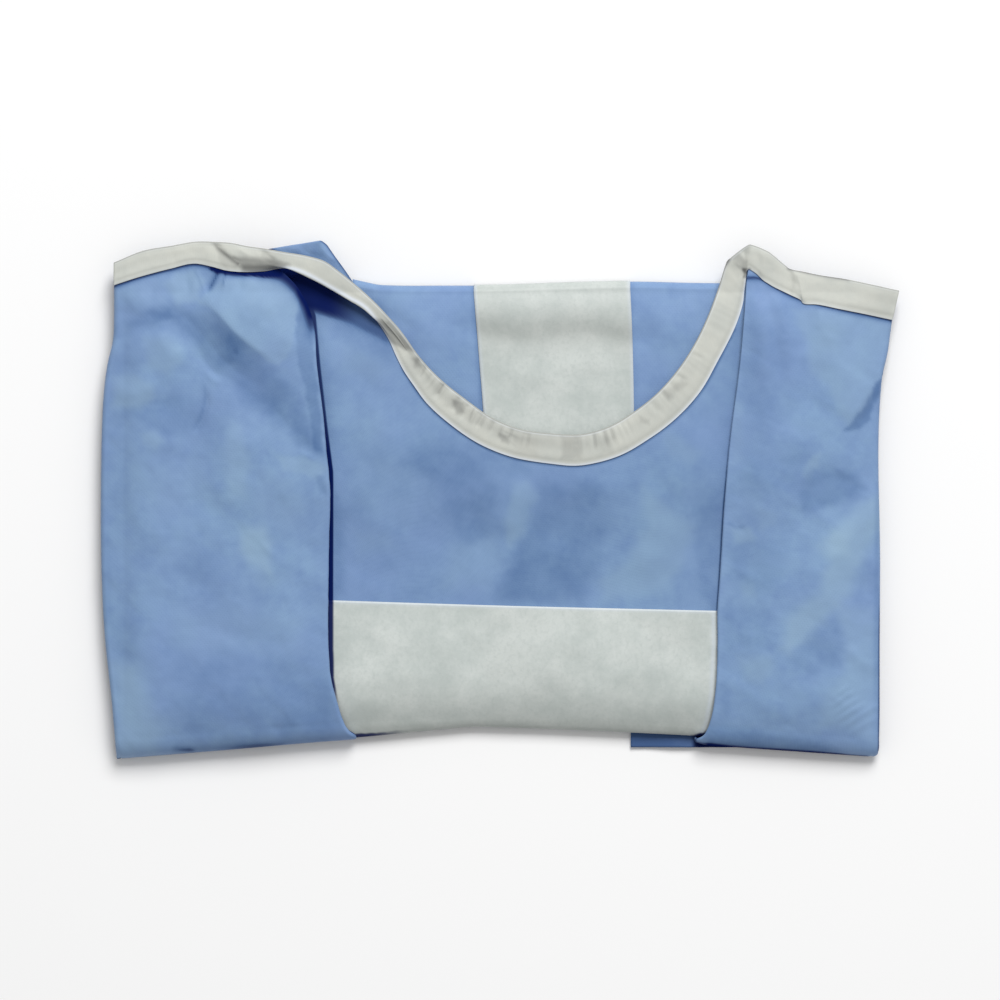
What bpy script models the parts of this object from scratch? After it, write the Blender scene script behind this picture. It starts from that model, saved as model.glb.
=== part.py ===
"""Surgical gown folded flat into a packet, lying on its underside.

+Z up, the wearer's neck towards +Y, origin at the middle of the footprint on the
surface. Every length below is in millimetres; the mesh builder turns it into metres.
The cloths are laid one on another: folded layers at the bottom, a folded sleeve, the
front panel with its neck hole, its reinforcement, the two back panels folded outward,
and one binding strip round the neck.
"""
import bpy
import numpy as np

MM = 0.001

# Cloth
GAP = 0.3                # clearance between two pieces
CLOTH_WALL = 1.3         # single blue ply
LAMINATE_WALL = 1.0      # off-white reinforcement
BINDING_WALL = 1.4
FOLD_RADIUS = 1.9        # outside radius of a back panel's inner fold
BINDING_LIP = 2.4        # how far the binding wraps down over the raw edge
LIP_ROUND = 0.9
BINDING_CROWN = 0.2

# Folded layers underneath
STACK_LEFT = -233.0
STACK_RIGHT = 229.0
STACK_FAR = 128.6
STACK_EDGE_HEIGHT = 8.5
STACK_CROWN = 3.5        # rise of the middle above the edges
CROWN_RUN = 30.0         # distance from the edge over which it rises
LAYER_COUNT = 3
LAYER_NIP = 1.7          # depth of the groove between two layers
LAYER_STEPS = (0.4, 1.5, 0.0)    # how far each layer's edge lies in, from the bottom up
LAYER_PROFILE = ((0.0, 0.8), (0.2, 0.25), (0.5, 0.0), (0.8, 0.25))
STACK_CORNER = 12.0      # corner radius in plan
CORNER_POINTS = 4
SIDE_POINTS = (22, 12, 22, 12)   # points along the far, left, near and right sides
STACK_TOP_INSETS = (1.0, 5.0, 11.0, 18.0, 26.0, 36.0, 60.0)
STACK_NEAR = [           # near edge of the stack: x, y
    (-233.0, -148.0), (-90.0, -138.2), (-17.0, -135.2),
    (81.0, -138.2), (126.0, -140.0), (229.0, -148.5),
]

# Lift of the front panel where the sleeve lies under it, and where the lift begins
# and ends: along X on the left and the right, along Y towards the near side
SLEEVE_LIFT = 3.2
LIFT_LEFT = (-192.0, -165.0)
LIFT_RIGHT = (162.0, 200.0)
LIFT_NEAR = (-30.0, 15.0)
FLAP_CLEARANCE = 1.7     # room for the reinforcement between front and back panels
SLACK = 0.4              # air between plies that lie loose on each other

# How cloth sags where it reaches past the stack: depth, run
SIDE_DROOP = (4.5, 6.0)
FAR_DROOP = (4.0, 20.0)

# Hollow beside the left shoulder: x, y, half-length, half-width, depth
SHOULDER_HOLLOW = (-105.0, 115.0, 40.0, 18.0, 3.5)

# Rounded edge of a fold: run along Y, height of its lower end
FRONT_ROLL = (9.0, 4.5)
FLAP_ROLL = (10.0, 4.0)
SLEEVE_ROLL = (5.0, 1.5)
ROLL_ANGLES = np.radians([18.0, 38.0, 58.0, 78.0, 95.0])
FOLD_ANGLES = np.radians([45.0, 90.0, 135.0])
NEAR_EDGE_POINTS = 9

# Columns across and rows along each laid cloth
SLEEVE_GRID = (15, 11)
BAND_GRID = (7, 11)
SHOULDER_GRID = (9, 7)
SKIRT_GRID = (13, 3)
FRONT_GRID = (27, 17)
WHITE_GRID = (17, 7)
LEFT_GRID = (17, 19)
RIGHT_GRID = (13, 19)
BINDING_STATIONS = 76

# Front panel, outline x, y: far edge with the neck hole, then the near fold
FRONT_SIDES = (-228.0, 224.0)
FRONT_FAR = [
    (-228, 117), (-165, 122), (-136, 131), (-121, 143), (-108, 142), (-94, 132),
    (-78, 117), (-65.5, 103), (-48, 80.5), (-26, 60.5), (-5, 46), (12, 40), (31, 38),
    (53, 37), (70, 41.5), (85, 52), (100, 63.5), (113, 78), (124, 95), (132.5, 113),
    (138.5, 130), (144, 143), (160, 133), (224, 112),
]
FRONT_NEAR = [
    (-228, -152.5), (-90, -143.2), (-17, -140.2), (81, -143.2), (126, -145), (224, -153),
]

# White reinforcement: far edge, hidden under the back panels at both ends
WHITE_SIDES = (-124.0, 150.0)
WHITE_FAR = [(-124, -61.5), (0, -65.4), (150, -69.0)]

# Sleeve seen through the neck hole
SLEEVE_FAR = [(-91.5, 137.3), (-73, 133.6), (0, 133.4), (56, 135.3), (157, 134.0)]
SLEEVE_NEAR_EDGE = 17.0
SLEEVE_LEFT = [(-91.5, 128.6), (-91.5, 17.0)]
SLEEVE_RIGHT = [(157.0, 128.6), (157.0, 17.0)]
BAND_START = 0.03        # share of the sleeve's length left bare at the near end
BAND_LEFT = [(-16.7, 133.5), (-12.6, 83.4), (-10.5, 56.0), (-9.5, 21.0)]
BAND_RIGHT = [(80.6, 133.5), (81.8, 108.0), (83.1, 55.5), (83.6, 21.0)]

# Shoulder corner behind the binding
SHOULDER_FAR = [(-158, 149), (-147, 154.5), (-135.8, 157.2), (-112, 161), (-107.5, 159)]
SHOULDER_NEAR_EDGE = 114.0
SHOULDER_RIGHT = [(-107.5, 159), (-93.4, 138.5), (-93.2, 114)]

# Skirt ply that peeps out at the near right
SKIRT_LEFT = 81.3
SKIRT_RIGHT = 222.0
SKIRT_REACH = -153.7
SKIRT_CLEAR = 0.2        # height of its underside over the surface

# Back panels, each outline running from the outer edge to the fold: x, y
LEFT_FAR = [
    (-239.6, 143.5), (-220, 151), (-187, 156.8), (-167, 155.8), (-151, 151.5),
    (-137, 143), (-126, 132.5), (-119.5, 122),
]
LEFT_OUTER = [
    (-239.6, 143.5), (-239.6, 104.5), (-243.7, 83.4), (-247.5, 28.2), (-246.1, -72.2),
    (-240.0, -137.3), (-238.0, -150.5),
]
LEFT_FOLD = [
    (-119.5, 122), (-116.8, 115), (-113.6, 83.4), (-110.2, 54.2), (-107.3, 22.0),
    (-107.1, -37), (-107.3, -92.7), (-106.1, -110), (-103, -124.3), (-98.8, -139.3),
]
LEFT_NEAR = [(-238.0, -150.5), (-160, -144.5), (-98.8, -139.3)]
RIGHT_FAR = [
    (246.8, 127), (214, 134), (187, 138.2), (177, 140.5), (166, 150), (158.5, 151.5), (157, 147),
]
RIGHT_OUTER = [
    (246.8, 127), (243.5, 111.6), (240.9, 92.9), (236.9, 74.1), (236.2, 66), (235.9, -45),
    (235.6, -90), (234.8, -149.4),
]
RIGHT_FOLD = [
    (157, 147), (155, 138), (153.8, 128), (152.6, 117), (149.5, 82.8), (144.2, 40),
    (140.8, -2.2), (138.3, -45), (136.7, -69.1), (136.8, -90.2), (135.2, -119.7), (131.5, -141.6),
]
RIGHT_NEAR = [(234.8, -149.4), (178.6, -145.9), (141, -143.2), (131.5, -141.6)]
UNDER_PLY = 0.22         # share of the width that the folded-back ply runs under

# Largest folds on the back panels: from x, y to x, y, half-width, height (+) or depth (-)
LEFT_FOLDS = [
    (-225, 116, -189, 105, 11, -1.5),
    (-189, 105, -151, 67, 13, -2.1),
    (-151, 67, -107, 24, 11, -1.8),
    (-191, 141, -165, 105, 8, -0.9),
    (-165, 105, -138, 84, 7, -0.9),
    (-150, 125, -137, 95, 12, 1.2),
    (-205, 60, -168, 20, 16, 0.9),
    (-170, -30, -120, -70, 18, 0.8),
    (-128, -120, -112, -141, 12, -1.2),
    (-222, -60, -212, -125, 14, 0.9),
]
RIGHT_FOLDS = [
    (236, 74, 222, 55, 7, -1.8),
    (222, 55, 216, 38, 8, -1.2),
    (160, 118, 166, 66, 8, 1.0),
    (176, 112, 182, 60, 8, 0.9),
    (228, 12, 232, -36, 9, 1.0),
    (212, 26, 222, 4, 9, -1.0),
    (206, -116, 232, -142, 6, 0.8),
    (150, -40, 166, -104, 15, 0.9),
]
FRONT_FOLDS = [
    (3, 8, 20, -26, 11, 0.8),
    (-88, 60, -60, 18, 15, 0.8),
    (96, 26, 118, -20, 14, 0.8),
]
FLAP_PUFF = 2.3          # how far a back panel's middle swells above its edges
PUFF_RUN = 26.0
PUFF_FAR = (150.0, 116.0)
PUFF_NEAR = (-156.0, -126.0)
PUFF_SIDES = (-247.0, 241.0)
LEFT_FOLD_X = -108.0
RIGHT_FOLD_X = 143.0
CREASE_FADE = 0.6        # share of the swell at which creases reach full depth

# Neck binding, a row for each section from the left back neck to the right:
# free edge x, y, sewn edge x, y, how far it lies on a back panel (1) or the front (0),
# lift of the free edge and of the lengthwise bend, and the bend's place between
# the free edge (0) and the sewn edge (1); over 1 tucks the sewn edge under.
BINDING = [
    (-239.6, 147.2, -239.6, 133.0, 1.0, 0.0, 0.0, 0.5),
    (-220.7, 154.7, -222.0, 138.6, 1.0, 0.0, 0.3, 0.5),
    (-204.0, 157.6, -204.6, 142.6, 1.0, 0.0, 0.3, 0.5),
    (-186.9, 160.3, -188.5, 145.0, 1.0, 0.0, 0.4, 0.5),
    (-176.7, 160.0, -178.6, 142.9, 1.0, 0.0, 0.9, 0.5),
    (-166.8, 159.3, -168.6, 140.1, 1.0, 0.2, 1.0, 0.5),
    (-157.0, 157.3, -157.5, 139.4, 1.0, 1.0, 1.8, 0.5),
    (-146.5, 155.8, -146.5, 141.4, 1.0, 2.6, 3.0, 0.6),
    (-134.0, 153.8, -136.0, 144.8, 0.8, 5.0, 4.6, 0.95),
    (-119.7, 150.7, -122.6, 142.6, 0.2, 6.8, 6.4, 1.2),
    (-108.5, 147.2, -113.6, 138.2, 0.0, 7.2, 6.6, 1.2),
    (-92.1, 136.1, -97.4, 129.2, 0.0, 6.6, 5.8, 1.25),
    (-75.6, 120.6, -79.4, 116.0, 0.0, 4.6, 4.0, 1.3),
    (-62.6, 106.3, -68.0, 98.6, 0.0, 2.8, 2.4, 0.9),
    (-53.3, 93.3, -60.2, 81.5, 0.0, 1.6, 1.4, 0.6),
    (-45.3, 83.4, -52.7, 69.8, 0.0, 0.9, 0.6, 0.5),
    (-35.3, 73.5, -45.3, 59.8, 0.0, 0.3, 0.3, 0.5),
    (-22.3, 63.2, -32.6, 48.2, 0.0, 0.0, 0.3, 0.5),
    (-2.2, 49.5, -9.9, 33.2, 0.0, 0.0, 0.3, 0.5),
    (13.0, 43.8, 8.1, 26.4, 0.0, 0.0, 0.3, 0.5),
    (30.1, 41.4, 30.1, 22.6, 0.0, 0.0, 0.3, 0.5),
    (52.1, 41.0, 53.3, 21.8, 0.0, 0.0, 0.3, 0.5),
    (67.0, 45.3, 73.0, 27.0, 0.0, 0.0, 0.3, 0.5),
    (82.8, 54.6, 93.0, 38.3, 0.0, 0.0, 0.3, 0.5),
    (96.9, 65.8, 109.1, 50.6, 0.0, 0.0, 0.3, 0.5),
    (109.7, 80.2, 124.0, 67.0, 0.0, 0.0, 0.3, 0.5),
    (120.3, 96.4, 135.4, 86.9, 0.0, 0.2, 0.4, 0.5),
    (128.7, 113.8, 144.0, 106.0, 0.0, 0.6, 0.7, 0.5),
    (135.5, 132.0, 148.6, 121.5, 0.0, 1.6, 1.6, 0.5),
    (140.7, 147.0, 150.2, 131.5, 0.15, 3.4, 3.0, 0.5),
    (146.5, 154.6, 151.8, 137.8, 0.6, 3.2, 2.8, 0.5),
    (155.0, 157.6, 155.6, 140.6, 1.0, 1.2, 1.6, 0.5),
    (163.0, 156.4, 161.4, 137.2, 1.0, 0.4, 1.0, 0.5),
    (172.4, 149.6, 168.6, 132.9, 1.0, 0.0, 0.5, 0.5),
    (180.2, 143.4, 176.1, 128.7, 1.0, 0.0, 0.3, 0.5),
    (187.6, 141.2, 185.4, 124.6, 1.0, 0.0, 0.8, 0.5),
    (198.4, 139.4, 196.5, 121.4, 1.0, 0.0, 0.3, 0.5),
    (213.9, 137.0, 210.8, 118.1, 1.0, 0.0, 0.3, 0.5),
    (230.6, 133.6, 226.9, 115.0, 1.0, 0.0, 0.3, 0.5),
    (247.7, 129.9, 243.5, 111.6, 1.0, 0.0, 0.0, 0.5),
]

BLUE = (0.205, 0.345, 0.575, 1.0)
DEEP_BLUE = (0.150, 0.262, 0.470, 1.0)
OFF_WHITE = (0.600, 0.640, 0.620, 1.0)
BINDING_WHITE = (0.690, 0.700, 0.640, 1.0)


def smooth_step(low, high, value):
    """Eases from 0 at low to 1 at high."""
    share = np.clip((value - low) / (high - low), 0.0, 1.0)
    return share * share * (3.0 - 2.0 * share)


def curve(rows, where):
    """Smooth curve through the rows, read at shares of its length (0 to 1)."""
    rows = np.array(rows, float)
    steps = np.linalg.norm(np.diff(rows[:, :2], axis=0), axis=1)
    length = np.concatenate([[0.0], np.cumsum(steps)]) / steps.sum()
    slope = np.gradient(rows, length, axis=0)
    first = np.clip(np.searchsorted(length, where, side="right") - 1, 0, len(rows) - 2)
    span = (length[first + 1] - length[first])[:, None]
    t = (where[:, None] - length[first][:, None]) / span
    start = (1.0 + 2.0 * t) * (1.0 - t) ** 2 * rows[first]
    end = t * t * (3.0 - 2.0 * t) * rows[first + 1]
    lean = t * (1.0 - t) ** 2 * slope[first] - t * t * (1.0 - t) * slope[first + 1]
    return start + end + span * lean


def profile(rows, x):
    """Smooth y of a table of x, y (x rising) at every x."""
    dense = curve(rows, np.linspace(0.0, 1.0, 160))
    return np.interp(x, dense[:, 0], dense[:, 1])


def patch(far, near, left, right, u, v):
    """Plan points of a panel between its four edges (Coons patch), rows far to near."""
    far_edge = curve(far, u)[None, :, :2]
    near_edge = curve(near, u)[None, :, :2]
    left_edge = curve(left, v)[:, None, :2]
    right_edge = curve(right, v)[:, None, :2]
    u = u[None, :, None]
    v = v[:, None, None]
    ruled = (1 - v) * far_edge + v * near_edge + (1 - u) * left_edge + u * right_edge
    far_left, far_right, near_left, near_right = np.array([far[0], far[-1], near[0], near[-1]])
    corners = (1 - v) * ((1 - u) * far_left + u * far_right)
    return ruled - corners - v * ((1 - u) * near_left + u * near_right)


def normals(grid):
    """Unit normals of a grid of points, from its rows and columns."""
    across = np.gradient(grid, axis=1)
    along = np.gradient(grid, axis=0)
    normal = np.cross(along, across)
    return normal / np.linalg.norm(normal, axis=2, keepdims=True)


# ---- heights of the laid cloths ------------------------------------------------

def edge_rise(distance):
    """0 at an edge of the stack, 1 a crown run inside it."""
    return 1.0 - (1.0 - np.clip(distance / CROWN_RUN, 0.0, 1.0)) ** 2


def droop(distance, sag):
    """Sag of cloth that reaches past the stack by this distance."""
    depth, run = sag
    return depth * (1.0 - np.exp(-np.maximum(distance, 0.0) / run))


def stack_top(x, y):
    """Top of the folded layers, and of their run-on past the edges."""
    side = np.minimum(x - STACK_LEFT, STACK_RIGHT - x)
    end = np.minimum(y - profile(STACK_NEAR, x), STACK_FAR - y)
    height = STACK_EDGE_HEIGHT + STACK_CROWN * edge_rise(side) * edge_rise(end)
    hollow_x, hollow_y, half_length, half_width, depth = SHOULDER_HOLLOW
    away = ((x - hollow_x) / half_length) ** 2 + ((y - hollow_y) / half_width) ** 2
    height = height - depth * np.exp(-away)
    return height - droop(-side, SIDE_DROOP) - droop(y - STACK_FAR, FAR_DROOP)


def creases(table, x, y):
    """Sum of soft ridges and troughs, each along a short straight line."""
    total = np.zeros_like(x)
    for x0, y0, x1, y1, half_width, height in table:
        length = np.hypot(x1 - x0, y1 - y0)
        along = ((x - x0) * (x1 - x0) + (y - y0) * (y1 - y0)) / length
        off = np.hypot(x - x0 - (x1 - x0) * np.clip(along / length, 0, 1),
                       y - y0 - (y1 - y0) * np.clip(along / length, 0, 1))
        total = total + height * np.exp(-((off / half_width) ** 2))
    return total


def sleeve_top(x, y):
    """Outer face of the sleeve, and of the shoulder corner beside it."""
    return stack_top(x, y) + GAP + SLACK + CLOTH_WALL


def front_top(x, y):
    """Outer face of the front panel, lifted where the sleeve is under it."""
    lift = smooth_step(*LIFT_LEFT, x) * (1.0 - smooth_step(*LIFT_RIGHT, x))
    lift = lift * smooth_step(*LIFT_NEAR, y)
    swell = creases(FRONT_FOLDS, x, y)
    return stack_top(x, y) + GAP + 2.0 * SLACK + CLOTH_WALL + SLEEVE_LIFT * lift + swell


def flap_top(x, y, folds, fold_x):
    """Outer face of a back panel; it swells away from its fold and its edges."""
    inside = np.abs(x - fold_x)
    swell = smooth_step(0.0, PUFF_RUN, inside)
    swell = swell * smooth_step(*PUFF_FAR, y) * smooth_step(*PUFF_NEAR, y)
    side = np.minimum(x - PUFF_SIDES[0], PUFF_SIDES[1] - x)
    swell = swell * smooth_step(0.0, PUFF_RUN, side)
    crease = creases(folds, x, y) * np.minimum(swell / CREASE_FADE, 1.0)
    rest = front_top(x, y) + FLAP_CLEARANCE + 2.0 * FOLD_RADIUS
    return rest + np.maximum(FLAP_PUFF * swell + crease, 0.0)


def left_top(x, y):
    """Outer face of the left back panel."""
    return flap_top(x, y, LEFT_FOLDS, LEFT_FOLD_X)


def right_top(x, y):
    """Outer face of the right back panel."""
    return flap_top(x, y, RIGHT_FOLDS, RIGHT_FOLD_X)


# ---- surfaces ------------------------------------------------------------------

def roll_rows(last, roll, away):
    """Rows that carry a panel's last row over a rounded edge and down."""
    run, low = roll
    rows = []
    drop = (last[:, 2] - low) / (1.0 - np.cos(ROLL_ANGLES[-1]))
    for angle in ROLL_ANGLES:
        row = last.copy()
        row[:, 1] += away * run * np.sin(angle)
        row[:, 2] -= drop * (1.0 - np.cos(angle))
        rows.append(row)
    return np.array(rows)


def lifted(plan, height):
    """Adds the height of each plan point."""
    return np.dstack([plan, height(plan[:, :, 0], plan[:, :, 1])])


def front_surface(far, sides, u, v):
    """Outer face of the front panel, or of the part of it nearer than a far edge."""
    run = FRONT_ROLL[0]
    near_x = np.linspace(*sides, NEAR_EDGE_POINTS)
    near = np.column_stack([near_x, profile(FRONT_NEAR, near_x) + run])
    left = [far[0], near[0]]
    right = [far[-1], near[-1]]
    grid = lifted(patch(far, near, left, right, u, v), front_top)
    return np.concatenate([grid, roll_rows(grid[-1], FRONT_ROLL, -1.0)])


def flap_surface(far, near, outer, fold, height, u, v):
    """Outer face of a back panel, from its outer edge over the fold to its under ply."""
    def face(share):
        grid = lifted(patch(far, near, outer, fold, share, v), height)
        return np.concatenate([grid, roll_rows(grid[-1], FLAP_ROLL, -1.0)])

    upper = face(u)
    side = 1.0 if upper[0, -1, 0] > upper[0, 0, 0] else -1.0
    normal = side * normals(upper)
    outward = upper[:, -1] - upper[:, -2]
    outward[:, 2] = 0.0
    outward = outward / np.linalg.norm(outward, axis=1, keepdims=True)
    columns = [upper]
    for angle in FOLD_ANGLES:
        sweep = outward * np.sin(angle) - normal[:, -1] * (1.0 - np.cos(angle))
        columns.append((upper[:, -1] + FOLD_RADIUS * sweep)[:, None])
    back = 1.0 - np.array([0.0, 0.5, 1.0]) * UNDER_PLY
    under = face(back)
    turned = -side * normals(under)
    columns.append(under - 2.0 * FOLD_RADIUS * turned)
    return np.concatenate(columns, axis=1)


def sleeve_surface(left, right, u, v):
    """Outer face of the sleeve between two side lines, from its far roll to near."""
    run = SLEEVE_ROLL[0]
    middle_y = SLEEVE_NEAR_EDGE + (STACK_FAR - SLEEVE_NEAR_EDGE) * v
    left_x = profile([(y, x) for x, y in reversed(left)], middle_y)[:, None]
    right_x = profile([(y, x) for x, y in reversed(right)], middle_y)[:, None]
    x = left_x * (1.0 - u) + right_x * u
    y = SLEEVE_NEAR_EDGE + (profile(SLEEVE_FAR, x) - run - SLEEVE_NEAR_EDGE) * v[:, None]
    grid = lifted(np.dstack([x, y]), sleeve_top)
    return np.concatenate([grid, roll_rows(grid[-1], SLEEVE_ROLL, 1.0)])[::-1]


def binding_surface(stations):
    """Outer face of the neck binding: lip, free edge, bend and sewn edge."""
    rows = curve(BINDING, np.linspace(0.0, 1.0, stations))
    free = rows[:, 0:2]
    sewn = rows[:, 2:4]
    on_flap, free_lift, bend_lift, bend_place = rows[:, 4:8].T
    on_flap = np.clip(on_flap, 0.0, 1.0)
    across = (sewn - free) / np.linalg.norm(sewn - free, axis=1, keepdims=True)
    bend = free + (sewn - free) * bend_place[:, None]
    columns = []
    sections = (
        (free, free_lift - BINDING_LIP),
        (free + across * LIP_ROUND, free_lift),
        (free + (bend - free) * 0.5, 0.5 * (free_lift + bend_lift) + BINDING_CROWN),
        (bend, bend_lift),
        (0.5 * (bend + sewn), 0.5 * bend_lift),
        (sewn, np.zeros(stations)),
    )
    for plan, lift in sections:
        x, y = plan.T
        flap = np.where(x < 0.0, left_top(x, y), right_top(x, y))
        rest = front_top(x, y) + on_flap * (flap - front_top(x, y))
        columns.append(np.column_stack([x, y, rest + GAP + SLACK + BINDING_WALL + lift]))
    return np.stack(columns, axis=1)


def stack_outline():
    """Rounded rectangle of the stack, as shares of its width and depth."""
    width = STACK_RIGHT - STACK_LEFT
    depth = STACK_FAR - STACK_NEAR[2][1]
    inner_x = width - STACK_CORNER
    inner_y = depth - STACK_CORNER
    arcs = []
    for x, y, start in (
        (inner_x, inner_y, 0.0), (STACK_CORNER, inner_y, 90.0),
        (STACK_CORNER, STACK_CORNER, 180.0), (inner_x, STACK_CORNER, 270.0),
    ):
        turn = np.radians(start + np.linspace(0.0, 90.0, CORNER_POINTS))
        arcs.append(np.column_stack([x + STACK_CORNER * np.cos(turn),
                                     y + STACK_CORNER * np.sin(turn)]))
    runs = []
    for number, count in enumerate(SIDE_POINTS):
        start = arcs[number][-1]
        end = arcs[(number + 1) % len(arcs)][0]
        share = np.linspace(0.0, 1.0, count + 2)[1:-1, None]
        runs += [arcs[number], start + (end - start) * share]
    return np.concatenate(runs) / (width, depth)


def stack_ring(inset):
    """Plan of the stack's rounded outline, moved in by an inset."""
    wide, deep = stack_outline().T
    x = STACK_LEFT + (STACK_RIGHT - STACK_LEFT) * wide
    near = profile(STACK_NEAR, x)
    y = near + (STACK_FAR - near) * deep
    middle = np.array([STACK_LEFT + STACK_RIGHT, STACK_NEAR[2][1] + STACK_FAR]) / 2.0
    half = np.array([STACK_RIGHT - STACK_LEFT, STACK_FAR - STACK_NEAR[2][1]]) / 2.0
    plan = np.column_stack([x, y]) - middle
    return middle + plan * (1.0 - inset / half)


def stack_rings():
    """Rings of the folded layers, from the flat underside up to the middle of the top."""
    edge = stack_ring(0.0)
    layer = stack_top(edge[:, 0], edge[:, 1]) / LAYER_COUNT
    rings = []
    for number, step in enumerate(LAYER_STEPS):
        for share, groove in LAYER_PROFILE:
            plan = stack_ring(step + LAYER_NIP * groove)
            rings.append(np.column_stack([plan, layer * (number + share)]))
    for inset in STACK_TOP_INSETS:
        plan = stack_ring(inset)
        rings.append(np.column_stack([plan, stack_top(plan[:, 0], plan[:, 1])]))
    return np.array(rings)


# ---- meshes --------------------------------------------------------------------

def material(name, colour, roughness):
    """One Principled material."""
    made = bpy.data.materials.new(name)
    made.use_nodes = True
    shader = made.node_tree.nodes["Principled BSDF"]
    shader.inputs["Base Color"].default_value = colour
    shader.inputs["Roughness"].default_value = roughness
    shader.inputs["Metallic"].default_value = 0.0
    return made


def add_object(name, points, faces, finish, collection):
    """An object from points in millimetres, shaded smooth."""
    mesh = bpy.data.meshes.new(name)
    mesh.from_pydata((points * MM).tolist(), [], faces)
    mesh.materials.append(finish)
    mesh.shade_smooth()
    made = bpy.data.objects.new(name, mesh)
    collection.objects.link(made)
    return made


def add_sheet(name, grid, wall, finish, collection):
    """A cloth: the grid is its outer face, Solidify gives it its wall inward."""
    rows, columns = grid.shape[:2]
    index = np.arange(rows * columns).reshape(rows, columns)
    corners = (index[:-1, :-1], index[1:, :-1], index[1:, 1:], index[:-1, 1:])
    faces = np.stack([corner.ravel() for corner in corners], axis=1).tolist()
    made = add_object(name, grid.reshape(-1, 3), faces, finish, collection)
    shell = made.modifiers.new("wall", "SOLIDIFY")
    shell.thickness = wall * MM
    shell.offset = -1.0
    shell.use_rim = True
    return made


def add_stack(name, finish, collection):
    """The folded layers: rings joined into one closed solid with two flat caps."""
    rings = stack_rings()
    count, points = rings.shape[:2]
    index = np.arange(count * points).reshape(count, points)
    following = np.roll(index, -1, axis=1)
    corners = (index[:-1], following[:-1], following[1:], index[1:])
    faces = np.stack([corner.ravel() for corner in corners], axis=1).tolist()
    faces.append(index[0][::-1].tolist())
    faces.append(index[-1].tolist())
    return add_object(name, rings.reshape(-1, 3), faces, finish, collection)


def steps(count, start=0.0):
    """Even shares from start to 1."""
    return np.linspace(start, 1.0, count)


def add_sleeve(blue, white, gown):
    """The folded sleeve, its reinforcement band and the shoulder corner."""
    columns, rows = SLEEVE_GRID
    sleeve = sleeve_surface(SLEEVE_LEFT, SLEEVE_RIGHT, steps(columns), steps(rows))
    add_sheet("sleeve_panel", sleeve, CLOTH_WALL, blue, gown)

    columns, rows = BAND_GRID
    band = sleeve_surface(BAND_LEFT, BAND_RIGHT, steps(columns), steps(rows, BAND_START))
    band = band + normals(band) * (GAP + LAMINATE_WALL)
    add_sheet("sleeve_reinforcement", band, LAMINATE_WALL, white, gown)

    columns, rows = SHOULDER_GRID
    left = [SHOULDER_FAR[0], (SHOULDER_FAR[0][0], SHOULDER_NEAR_EDGE)]
    near = [left[-1], SHOULDER_RIGHT[-1]]
    plan = patch(SHOULDER_FAR, near, left, SHOULDER_RIGHT, steps(columns), steps(rows))
    add_sheet("shoulder_ply", lifted(plan, sleeve_top), CLOTH_WALL, blue, gown)


def add_skirt_ply(blue, gown):
    """The strip of skirt that lies just over the surface, in front of the stack."""
    columns, rows = SKIRT_GRID
    x = np.linspace(SKIRT_LEFT, SKIRT_RIGHT, columns)
    inner = profile(STACK_NEAR, x) - GAP - SLACK
    y = inner + (SKIRT_REACH - inner) * steps(rows)[:, None]
    z = np.full(y.shape, SKIRT_CLEAR + CLOTH_WALL)
    grid = np.dstack([np.broadcast_to(x, y.shape), y, z])
    add_sheet("skirt_ply", grid, CLOTH_WALL, blue, gown)


def add_front(blue, white, gown):
    """The front panel and the reinforcement that lies on it."""
    columns, rows = FRONT_GRID
    front = front_surface(FRONT_FAR, FRONT_SIDES, steps(columns), steps(rows))
    add_sheet("front_panel", front, CLOTH_WALL, blue, gown)

    columns, rows = WHITE_GRID
    laid = front_surface(WHITE_FAR, WHITE_SIDES, steps(columns), steps(rows))
    laid = laid + normals(laid) * (GAP + LAMINATE_WALL)
    add_sheet("front_reinforcement", laid, LAMINATE_WALL, white, gown)


def add_backs(blue, gown):
    """The two back panels, folded outward over the front."""
    columns, rows = LEFT_GRID
    left = flap_surface(LEFT_FAR, LEFT_NEAR, LEFT_OUTER, LEFT_FOLD, left_top,
                        steps(columns), steps(rows))
    add_sheet("back_panel_left", left, CLOTH_WALL, blue, gown)
    columns, rows = RIGHT_GRID
    right = flap_surface(RIGHT_FAR, RIGHT_NEAR, RIGHT_OUTER, RIGHT_FOLD, right_top,
                         steps(columns), steps(rows))
    add_sheet("back_panel_right", right[:, ::-1], CLOTH_WALL, blue, gown)


def build():
    """Makes every piece of the folded gown."""
    for old in list(bpy.data.objects):
        bpy.data.objects.remove(old)
    gown = bpy.data.collections.new("surgical_gown")
    bpy.context.scene.collection.children.link(gown)
    blue = material("gown_blue", BLUE, 0.72)
    deep_blue = material("gown_blue_inner", DEEP_BLUE, 0.75)
    white = material("reinforcement_white", OFF_WHITE, 0.55)
    tape = material("binding_white", BINDING_WHITE, 0.80)

    add_stack("folded_layers", deep_blue, gown)
    add_skirt_ply(deep_blue, gown)
    add_sleeve(blue, white, gown)
    add_front(blue, white, gown)
    add_backs(blue, gown)
    binding = binding_surface(BINDING_STATIONS)[:, ::-1]
    add_sheet("neck_binding", binding, BINDING_WALL, tape, gown)


build()
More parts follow.
